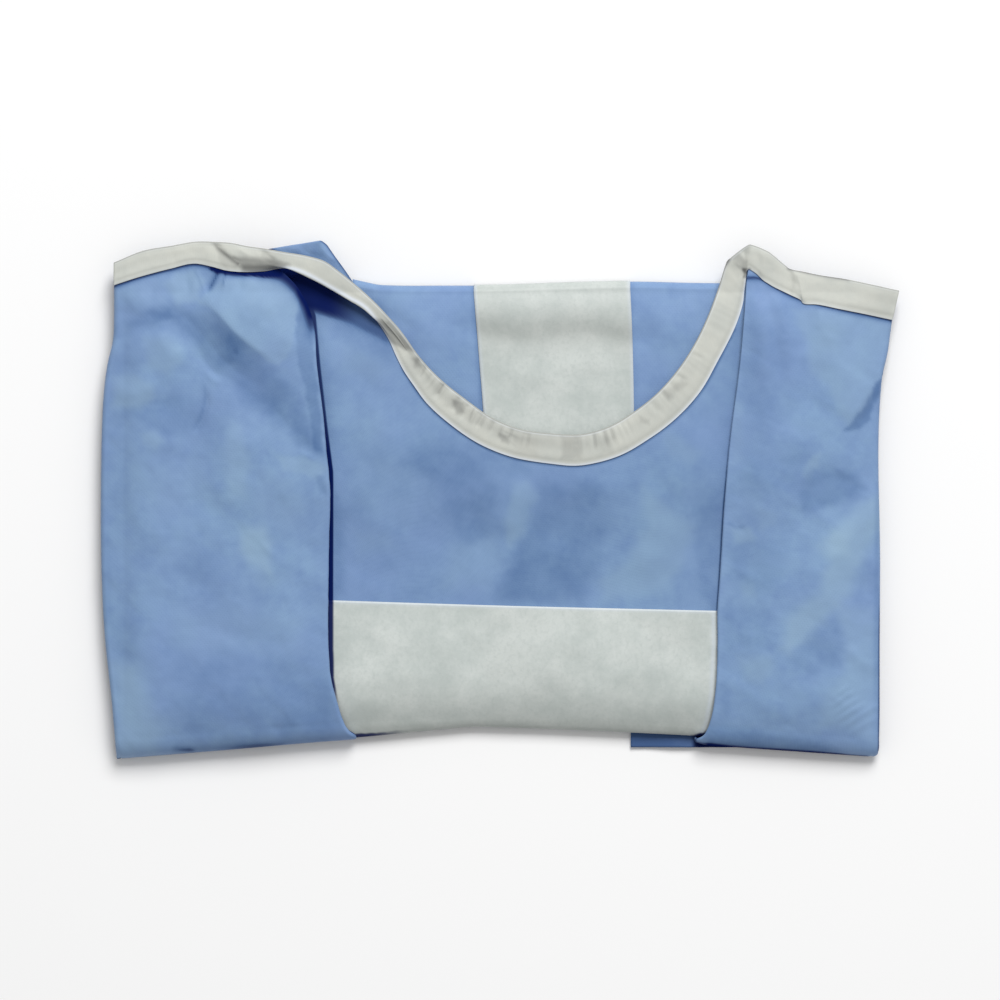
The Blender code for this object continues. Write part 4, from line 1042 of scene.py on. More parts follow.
leftBack["shadePatches"] = [
    (((-232, 111), (-222, 116), (-206, 119.5), (-194, 117), (-182, 112), (-170, 105), (-160, 99),
      (-160, 90), (-174, 80), (-182, 88), (-190, 98), (-200, 104), (-214, 106), (-230, 106)),
     4.0, 0.18),
    (((-218, 118), (-205, 118.5), (-200, 113), (-214, 110)), 3.0, 0.18),
    (((-172, 98), (-166, 101), (-152, 90), (-140, 81.5), (-130, 72), (-122, 56), (-114, 40),
      (-106, 26), (-118, 29), (-132, 42), (-148, 52), (-164, 66), (-172, 80)), 6.0, 0.18),
    (((-164, 92), (-148, 84), (-134, 66), (-138, 56), (-152, 60), (-166, 74)), 6.0, 0.10),
    (((-128, 50), (-116, 38), (-108, 26), (-120, 30), (-130, 40)), 3.0, 0.08),
    (((-232, 55), (-216, 60), (-200, 64), (-184, 62), (-182, 46), (-192, 38), (-208, 40),
      (-218, 46)), 4.0, 0.12),
    (((-204, -98), (-160, -96), (-106, -100), (-99, -138), (-110, -149), (-160, -153),
      (-196, -150)), 10.0, 0.10),
    (((-134, -116), (-104, -114), (-98, -138), (-108, -148), (-136, -148)), 8.0, 0.08),
    (((-125, 130), (-118, 120), (-112, 60), (-109, 30), (-114, 30), (-120, 66), (-126, 92)),
     1.6, 0.20),
    (((-168, 122), (-148, 122), (-138, 100), (-150, 97), (-164, 108)), 6.0, 0.06),
    (((-114, 15), (-109, 15), (-108, 4), (-112, 4)), 1.5, 0.12),
    (((-196, -36), (-176, -32), (-172, -48), (-190, -54)), 6.0, 0.06),
    (((-236, 96), (-226, 98), (-222, 86), (-232, 80)), 4.0, 0.05),
    (((-246, -20), (-242, -20), (-240, -76), (-245, -78)), 2.0, 0.06),
    (((-240, -78), (-226, -76), (-222, -98), (-236, -100)), 5.0, 0.05),
]
leftBack["lightPatches"] = [
    (((-187, 122), (-172, 137), (-157, 136.5), (-140, 136.5), (-131, 131), (-125.5, 124),
      (-126.5, 104), (-131, 90), (-136, 83), (-143, 84.5), (-150, 91.5), (-160, 99), (-167, 106),
      (-173, 113), (-180, 119)), 1.3, 0.27),
    (((-158, 134), (-142, 134), (-132, 122), (-142, 112), (-156, 118)), 5.0, 0.08),
    (((-208, 134), (-201, 141), (-189, 143), (-183, 136), (-186, 123), (-200, 121)), 3.0, 0.36),
    (((-238, 131), (-222, 137), (-208, 136), (-206, 122), (-222, 120), (-238, 124)), 4.0, 0.16),
    (((-222, 101), (-206, 102), (-198, 95), (-197, 85), (-206, 77), (-217, 82)), 4.0, 0.24),
    (((-239, 76), (-226, 77), (-215, 71), (-214, 62), (-222, 55), (-240, 57)), 3.5, 0.32),
    (((-222, 41), (-213, 43), (-208, 37), (-213, 31), (-221, 34)), 3.0, 0.26),
    (((-138, 27), (-124, 27), (-109, 22), (-106, 18), (-114, 13), (-122, 16), (-134, 18)),
     2.0, 0.24),
    (((-168, 50), (-159, 46), (-155, 22), (-158, 2), (-168, 0), (-170, 28)), 4.0, 0.24),
    (((-160, -17), (-146, -16), (-141, -28), (-143, -44), (-155, -40), (-161, -30)), 4.5, 0.46),
    (((-158, -44), (-144, -42), (-136, -50), (-146, -58)), 4.0, 0.16),
    (((-239, -102), (-224, -104), (-216, -124), (-208, -142), (-214, -157), (-237, -160)),
     8.0, 0.38),
    (((-200, -68), (-160, -64), (-120, -70), (-124, -92), (-180, -96), (-206, -86)), 9.0, 0.14),
    (((-226, 20), (-190, 22), (-180, 2), (-210, -8), (-232, 0)), 9.0, 0.12),
    (((-150, 20), (-128, 14), (-118, -8), (-134, -20), (-152, -6)), 7.0, 0.12),
]
rightBack["shades"] = [
    (((151.8, 137.8), (161.4, 137.2), (168.6, 132.9), (176.1, 128.7), (185.4, 124.6),
      (196.5, 121.4), (210.8, 118.1), (226.9, 115.0), (243.5, 111.6)),
     1.5, 2.0, 0.66, 0.1, "se"),
    (((234, 10), (233.5, -60), (233, -157)), 1.6, 1.6, 0.13, 0.0, "s"),
    (((235.5, -44), (235.3, -110), (235.0, -156)), 0.8, 0.8, 0.66, 0.0, "e"),
    (((130, -152.5), (180, -156.2), (226, -159.2)), 2.4, 2.2, 0.40, 0.1, "s"),
    (((121, -150.4), (141, -153.2), (178.6, -155.9), (228, -159.2)), 0.9, 1.6, 0.62, 0.0, "se"),
    (((142, -14), (147, -17), (153, -15)), 0.9, 1.3, 0.16, 0.3, "s"),
]
rightBack["shadePatches"] = [
    (((238, 80), (236.5, 66), (231.5, 60), (229.5, 50), (224, 43), (213, 42), (219, 50),
      (226, 60), (231, 68)), 1.3, 0.30),
    (((237, 74), (236, 66), (231, 62), (229.5, 65)), 1.0, 0.10),
    (((190, 17), (204, 19), (220, 17), (226, 6), (214, 0), (198, -6), (188, -6), (186, 2)),
     4.0, 0.22),
    (((140, -28), (178, -27), (176, -48), (160, -58), (142, -52)), 6.0, 0.10),
    (((152, 112), (178, 112), (176, 60), (160, 40), (152, 60)), 8.0, 0.07),
    (((150, 34), (186, 30), (184, 10), (160, 4), (148, 12)), 8.0, 0.10),
    (((196, -78), (210, -76), (214, -92), (206, -106), (190, -108), (178, -102), (188, -88)),
     4.0, 0.10),
    (((142, -66), (168, -70), (166, -92), (144, -90)), 6.0, 0.07),
    (((126, -138), (150, -142), (200, -150), (214, -158), (130, -153)), 4.0, 0.22),
    (((140, -60), (136, -100), (136, -140), (142, -140), (144, -60)), 3.0, 0.06),
]
rightBack["lightPatches"] = [
    (((182, 117), (200, 119), (222, 114), (243, 110), (241, 92), (236, 74), (229, 64), (217, 46),
      (209, 54), (204, 70), (192, 80), (190, 98), (184, 108)), 3.5, 0.26),
    (((196, 112), (212, 110), (210, 92), (196, 90)), 6.0, 0.10),
    (((143, 62), (150, 60), (150, 24), (143, 20)), 3.0, 0.16),
    (((187, 15), (193, 28), (198, 30), (198, 20), (191, 13)), 2.0, 0.28),
    (((236, 4), (224, -3), (206, -18), (198, -30), (203, -38), (198, -56), (186, -66), (178, -74),
      (174, -92), (180, -96), (192, -84), (204, -72), (216, -60), (222, -42), (231, -26),
      (236, -14)), 5.0, 0.42),
    (((206, -18), (218, -20), (216, -34), (204, -34)), 4.0, 0.14),
    (((143, -17), (156, -17), (158, -26), (146, -28)), 2.5, 0.26),
    (((149, -51), (158, -51), (158, -59), (150, -59)), 2.5, 0.20),
    (((148, -98), (170, -97), (168, -106), (162, -114), (152, -112)), 4.5, 0.28),
    (((208, -64), (232, -68), (232, -152), (216, -142), (198, -142), (199, -122), (212, -108),
      (214, -90)), 5.0, 0.28),
    (((160, -4), (172, -8), (170, -16), (160, -18)), 3.0, 0.14),
]


# A back panel in place of its solid; painted light shows only where its painted shade is under
# half.
def makeBack(name, node, panel):
    grid = flapSurface(panel)
    shade = flapShade(grid, panel)
    light = patchShare(panel["lightPatches"], *planOf(grid))
    light = np.clip(light, 0.0, 1.0) * (shade < backs["lightUnder"])
    if panel["fold"]["way"] < 0.0:                   # the right one runs the other way
        grid, shade, light = grid[:, ::-1], shade[:, ::-1], light[:, ::-1]
    made = makeSheet(name, grid, gownBlue, {"shade": shade, "light": light})
    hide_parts(node)
    return made


backLeft = makeBack("back_panel_left_cloth", "back_panel_left", leftBack)
backRight = makeBack("back_panel_right_cloth", "back_panel_right", rightBack)
print("back panels folded outward")


# Sleeve seen through the neck, its reinforcement and the shoulder corner.

sleeve = {
    "columns": 120, "rows": 70, "start": 0.0, "roll": (5.0, 1.5), "nearEdge": 17.0,
    "crumples": ((31, 48.0, 16.0, 5, 0.22),),
    # pit: painted shade at the left shoulder (x run, y run, strength)
    "pit": ((-66.0, -84.0), (128.0, 112.0), 0.9),    # the dark at the left shoulder
    "far": [(-91.5, 137.3), (-82, 135.2), (-75, 133.8), (-69, 133.5), (-36, 133.3), (0, 133.5),
            (40, 134.8), (56, 135.3), (81, 135.8), (120, 135.0), (157, 134.6)],
    "left": [(-91.5, 128.6), (-91.5, 17.0)],
    "right": [(157.0, 128.6), (157.0, 17.0)],
    "creases": [
        (((-22, 106), (10, 102), (50, 104), (88, 100)), 9, 7, -1.3, 0.1, "se"),
        (((-14, 84), (20, 78), (60, 86)), 8, 9, 0.6, 0.1, "e"),
        (((-60, 124), (-46, 108), (-36, 90)), 7, 8, 0.6, 0.2, ""),
        (((-76, 118), (-62, 112), (-50, 100)), 4, 5, -0.5, 0.3, ""),
        (((94, 126), (104, 108), (108, 92)), 7, 8, 0.6, 0.2, ""),
        (((118, 128), (124, 116), (122, 104)), 5, 5, -0.5, 0.3, ""),
        (((-18, 70), (-26, 92), (-24, 118)), 4, 5, -0.4, 0.2, ""),
        (((86, 66), (92, 88), (92, 116)), 4, 5, -0.4, 0.2, ""),
    ],
}
band = {
    # painted highlight on its side columns; painted shade beside it, in its trough and further on
    "columns": 70, "rows": 70, "start": 0.03, "lift": 0.6, "rimColumns": (0.6, 0.25),
    "left": [(-16.7, 133.5), (-12.6, 83.4), (-10.5, 56.0), (-9.5, 21.0)],
    "right": [(80.6, 133.5), (81.8, 108.0), (83.1, 55.5), (83.6, 21.0)],
    "beside": {"left": (1.8, 1.8, 0.26, 0.0, "se"), "right": (1.6, 1.6, 0.12, 0.0, "se")},
    "trough": [(((-22, 106), (10, 102), (50, 104), (88, 100)), 12, 10, 0.30, 0.0, "se")],
    "veil": (0.06, ((104.0, 122.0, 0.07),)),
}
shoulder = {
    "columns": 60, "rows": 50, "nearEdge": 114.0, "crumples": ((41, 30.0, 12.0, 4, 0.2),),
    # painted shade beyond a line at the pit (pitLine, pitRun)
    "pitLine": (-132.0, 149.0, 0.55), "pitRun": (5.0, -1.0),     # a point and the slope
    "far": [(-158, 149), (-147, 154.9), (-135.8, 157.2), (-122, 159.4), (-113.0, 160.9),
            (-111.6, 161.1), (-110.8, 160.9), (-108.6, 159.4), (-107.4, 158.4), (-106.6, 157.3)],
    "right": [(-106.6, 157.3), (-104.5, 154.2), (-93.4, 138.5), (-91.8, 136.0), (-91.6, 114)],
    "creases": [
        (((-112, 160), (-108, 153), (-100, 147)), 2, 3, 0.8, 0.5, "s"),
        (((-126, 158), (-116, 152), (-108, 151)), 2, 3, -0.6, 0.5, ""),
        (((-138, 156), (-126, 156), (-118, 154)), 2, 2, 0.4, 0.5, ""),
    ],
}


# Outer face of the sleeve, or of the shoulder, with its own creases and crumple.
def sleeveFace(piece):
    return lambda x, y: (sleeveTop(x, y) + creaseHeight(piece["creases"], x, y)
                         + crumple(piece["crumples"], x, y))


# The sleeve between a piece's two side lines, from its near end to the roll at the far
# one: x and y run evenly between the lines, the height is the sleeve's face.
def sleeveSurface(piece):
    u, v = shares(piece["columns"]), shares(piece["rows"], piece["start"])
    nearEdge = sleeve["nearEdge"]
    middleY = nearEdge + (lay["far"] - nearEdge) * v
    leftX, rightX = [profileAt([(y, x) for x, y in reversed(piece[side])], middleY)[:, None]
                     for side in ("left", "right")]
    x = leftX * (1.0 - u) + rightX * u
    y = nearEdge + (profileAt(sleeve["far"], x) - sleeve["roll"][0] - nearEdge) * v[:, None]
    grid = lifted(np.dstack([x, y]), sleeveFace(sleeve))
    return np.concatenate([grid, rollRows(grid[-1], sleeve["roll"])])[::-1]


grid = sleeveSurface(sleeve)
x, y = planOf(grid)
# painted shade: the dark pit at the left shoulder and lines beside the band
sideways, nearer, strength = sleeve["pit"]
beside = [(band[side], *line) for side, line in band["beside"].items()]
shade = np.maximum(smoothStep(*sideways, x) * smoothStep(*nearer, y) * strength,
                   creaseHeight(beside, x, y))
sleevePanel = makeSheet("sleeve_cloth", grid, gownBlue, {"shade": shade, "light": 0.0})
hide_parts("sleeve_panel")

grid = sleeveSurface(band)
grid = grid + gridNormals(grid) * band["lift"]
x, y = planOf(grid)
# painted highlight on the side columns and painted shade along the trough
rim = np.zeros(x.shape)
for column, strength in enumerate(band["rimColumns"]):
    rim[:, [column, -1 - column]] = strength
trough = np.clip(creaseHeight(band["trough"], x, y), 0.0, 1.0) + eased(*band["veil"], y)
sleeveBand = makeSheet("sleeve_reinforcement_cloth", grid, reinforcementWhite,
                       {"rim": rim, "shade": trough, "gap": 0.0})
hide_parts("sleeve_reinforcement")

# painted shade lines on the shoulder
shoulder["shades"] = [
    (shoulder["far"][5:] + shoulder["right"][1:4], 0.9, 0.9, 0.6, 0.0, "se"),
    (((-136, 153.6), (-120, 151.6), (-108, 148)), 1.4, 1.4, 0.35, 0.0, ""),
    (((-118, 157), (-113, 152), (-106, 150)), 3.0, 2.5, 0.16, 0.0, ""),
]
left = [shoulder["far"][0], (shoulder["far"][0][0], shoulder["nearEdge"])]
plan = panelPlan(shoulder["far"], [left[-1], shoulder["right"][-1]], left, shoulder["right"],
                 shares(shoulder["columns"]), shares(shoulder["rows"]))
grid = lifted(plan, sleeveFace(shoulder))
x, y = planOf(grid)
# painted shade: the pit beyond the line, and the lines
pitX, pitY, slope = shoulder["pitLine"]
shade = np.maximum(smoothStep(*shoulder["pitRun"], y - pitY + slope * (x - pitX)),
                   creaseHeight(shoulder["shades"], x, y))
shoulderPly = makeSheet("shoulder_cloth", grid, gownBlue,
                        {"shade": shade, "light": 0.0})
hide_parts("shoulder_ply")
print("sleeve, its reinforcement and the shoulder laid")


# Skirt ply and the folded layers underneath.

skirt = {
    "columns": 110, "rows": 14, "left": 81.3, "right": 222.0, "reach": -153.7, "clear": 0.5,
    "rise": 1.1, "wave": 0.9, "waveRuns": (11.0, 23.0), "phase": 0.6,
    # shade: painted shade over the whole ply, deeper from x 118 to 124
    "crumples": ((51, 26.0, 9.0, 4, 0.3),), "shade": (0.51, ((118.0, 124.0, 0.41),)),
}
layers = {
    "count": 7, "corner": 12.0, "cornerPoints": 12, "sidePoints": (170, 90, 170, 90),
    "nip": 1.9, "lobePoints": 7, "middleY": -135.2, "seed": 61, "phase": 6.28,
    # nipShade: painted shade in the nips between the layers' edges
    "sink": 0.05, "nipShade": 0.55,
    "steps": (0.3, 1.9, 0.6, 2.6, 0.2, 1.4, 0.0),    # how far each layer's edge lies in
    "waves": 1.3, "waveTurns": (2, 5, 11, 29),       # in and out of the edges
    "thickness": 0.20, "thicknessTurns": (3, 7, 16),
    "insets": (1.0, 3.0, 6.0, 11.0, 18.0, 26.0, 36.0, 60.0, 90.0),
}


# The ply that peeps out: from under the layers to its reach, rising outwards by two
# crossed sine waves and crumple.
def skirtSurface():
    x = np.linspace(skirt["left"], skirt["right"], skirt["columns"])
    inner = profileAt(lay["near"], x) - lay["gap"] - lay["slack"]
    y = inner + (skirt["reach"] - inner) * shares(skirt["rows"])[:, None]
    x = np.broadcast_to(x, y.shape)
    short, long = skirt["waveRuns"]
    rise = skirt["rise"] + skirt["wave"] * np.sin(x / short + skirt["phase"]) * np.sin(x / long)
    rise = np.maximum(rise + crumple(skirt["crumples"], x, y), 0.0)
    outness = (y - inner) / (skirt["reach"] - inner)
    return np.dstack([x, y, skirt["clear"] + lay["wall"] + rise * outness])


grid = skirtSurface()
# painted shade: the whole ply lies in shade, deeper beyond x 118
shade = eased(*skirt["shade"], grid[:, :, 0])
skirtPly = makeSheet("skirt_cloth", grid, gownBlueInner,
                     {"shade": shade, "light": 0.0})
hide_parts("skirt_ply")


# Rounded rectangle of the layers as shares of their width and depth: four quarter
# circles and the straight runs between them.
def layerOutline():
    width = lay["right"] - lay["left"]
    depth = lay["far"] - layers["middleY"]
    corner = layers["corner"]
    arcs = []
    for x, y, start in ((width - corner, depth - corner, 0.0), (corner, depth - corner, 90.0),
                        (corner, corner, 180.0), (width - corner, corner, 270.0)):
        turn = np.radians(start + np.linspace(0.0, 90.0, layers["cornerPoints"]))
        arcs.append(np.column_stack([x + corner * np.cos(turn), y + corner * np.sin(turn)]))
    runs = []
    for number, count in enumerate(layers["sidePoints"]):
        start, end = arcs[number][-1], arcs[(number + 1) % 4][0]
        runs += [arcs[number], start + (end - start) * shares(count + 2)[1:-1, None]]
    return np.concatenate(runs) / (width, depth)


# Plan of the outline, moved in by an inset (one number, or one per point).
def layerRing(inset):
    wide, deep = layerOutline().T
    x = lay["left"] + (lay["right"] - lay["left"]) * wide
    near = profileAt(lay["near"], x)
    y = near + (lay["far"] - near) * deep
    middle = np.array([lay["left"] + lay["right"], layers["middleY"] + lay["far"]]) / 2.0
    half = np.array([lay["right"] - lay["left"], lay["far"] - layers["middleY"]]) / 2.0
    plan = np.column_stack([x, y]) - middle
    return middle + plan * (1.0 - np.broadcast_to(inset, (len(x),))[:, None] / half)


# The folded layers as one closed skin: each layer's edge is half an ellipse that juts
# out between two nips, in or out of line with the next by waves along the outline.
def makeLayers():
    ring = layerRing(0.0)
    around = np.linspace(0.0, 2.0 * np.pi, len(ring), endpoint=False)
    total = stackTop(*ring.T)
    dice = np.random.default_rng(layers["seed"])

    def wavy(turns):             # mean of sines with so many turns, each at a drawn phase
        phase = layers["phase"]
        return sum(np.sin(turn * around + dice.uniform(0, phase)) / len(turns) for turn in turns)

    bounds = [np.zeros(len(ring))]
    for number in range(1, layers["count"]):
        uneven = layers["thickness"] * wavy(layers["thicknessTurns"])
        bounds.append(total * (number + uneven) / layers["count"])
    bounds.append(total)
    rings = []
    for number, step in enumerate(layers["steps"]):
        out = step + layers["waves"] * (0.5 + 0.5 * wavy(layers["waveTurns"]))
        low, high = bounds[number], bounds[number + 1]
        for turn in np.radians(np.linspace(-90.0, 90.0, layers["lobePoints"]))[:-1]:
            plan = layerRing(out + layers["nip"] * (1.0 - np.cos(turn)))
            height = low + (high - low) * (0.5 + 0.5 * np.sin(turn))
            rings.append(np.column_stack([plan, height]))
    for inset in layers["insets"]:
        plan = layerRing(layers["nip"] + inset)
        rings.append(np.column_stack([plan, stackTop(*plan.T) - layers["sink"]]))
    rings = np.array(rings)
    count, points = rings.shape[:2]
    index = np.arange(count * points).reshape(count, points)
    following = np.roll(index, -1, axis=1)
    corners = (index[:-1], following[:-1], following[1:], index[1:])
    faces = np.stack([corner.ravel() for corner in corners], axis=1).tolist()
    faces += [index[0][::-1].tolist(), index[-1].tolist()]
    made = makeObject("folded_layers_cloth", rings.reshape(-1, 3), faces, gownBlueInner)
    x, y, z = np.moveaxis(rings, 2, 0)
    addAttribute(made, "clothSpace", np.stack([x + z, y - z, z], axis=2) * mm)
    # painted shade on the rings at the nips between layers
    nips = np.zeros((count, points))
    edgeRings = layers["count"] * (layers["lobePoints"] - 1)
    nips[:edgeRings:layers["lobePoints"] - 1] = layers["nipShade"]
    addAttribute(made, "shade", nips)
    addAttribute(made, "light", np.zeros((count, points)))
    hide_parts("folded_layers")
    return made


foldedLayers = makeLayers()
print("folded layers and skirt ply made")


# Neck binding.

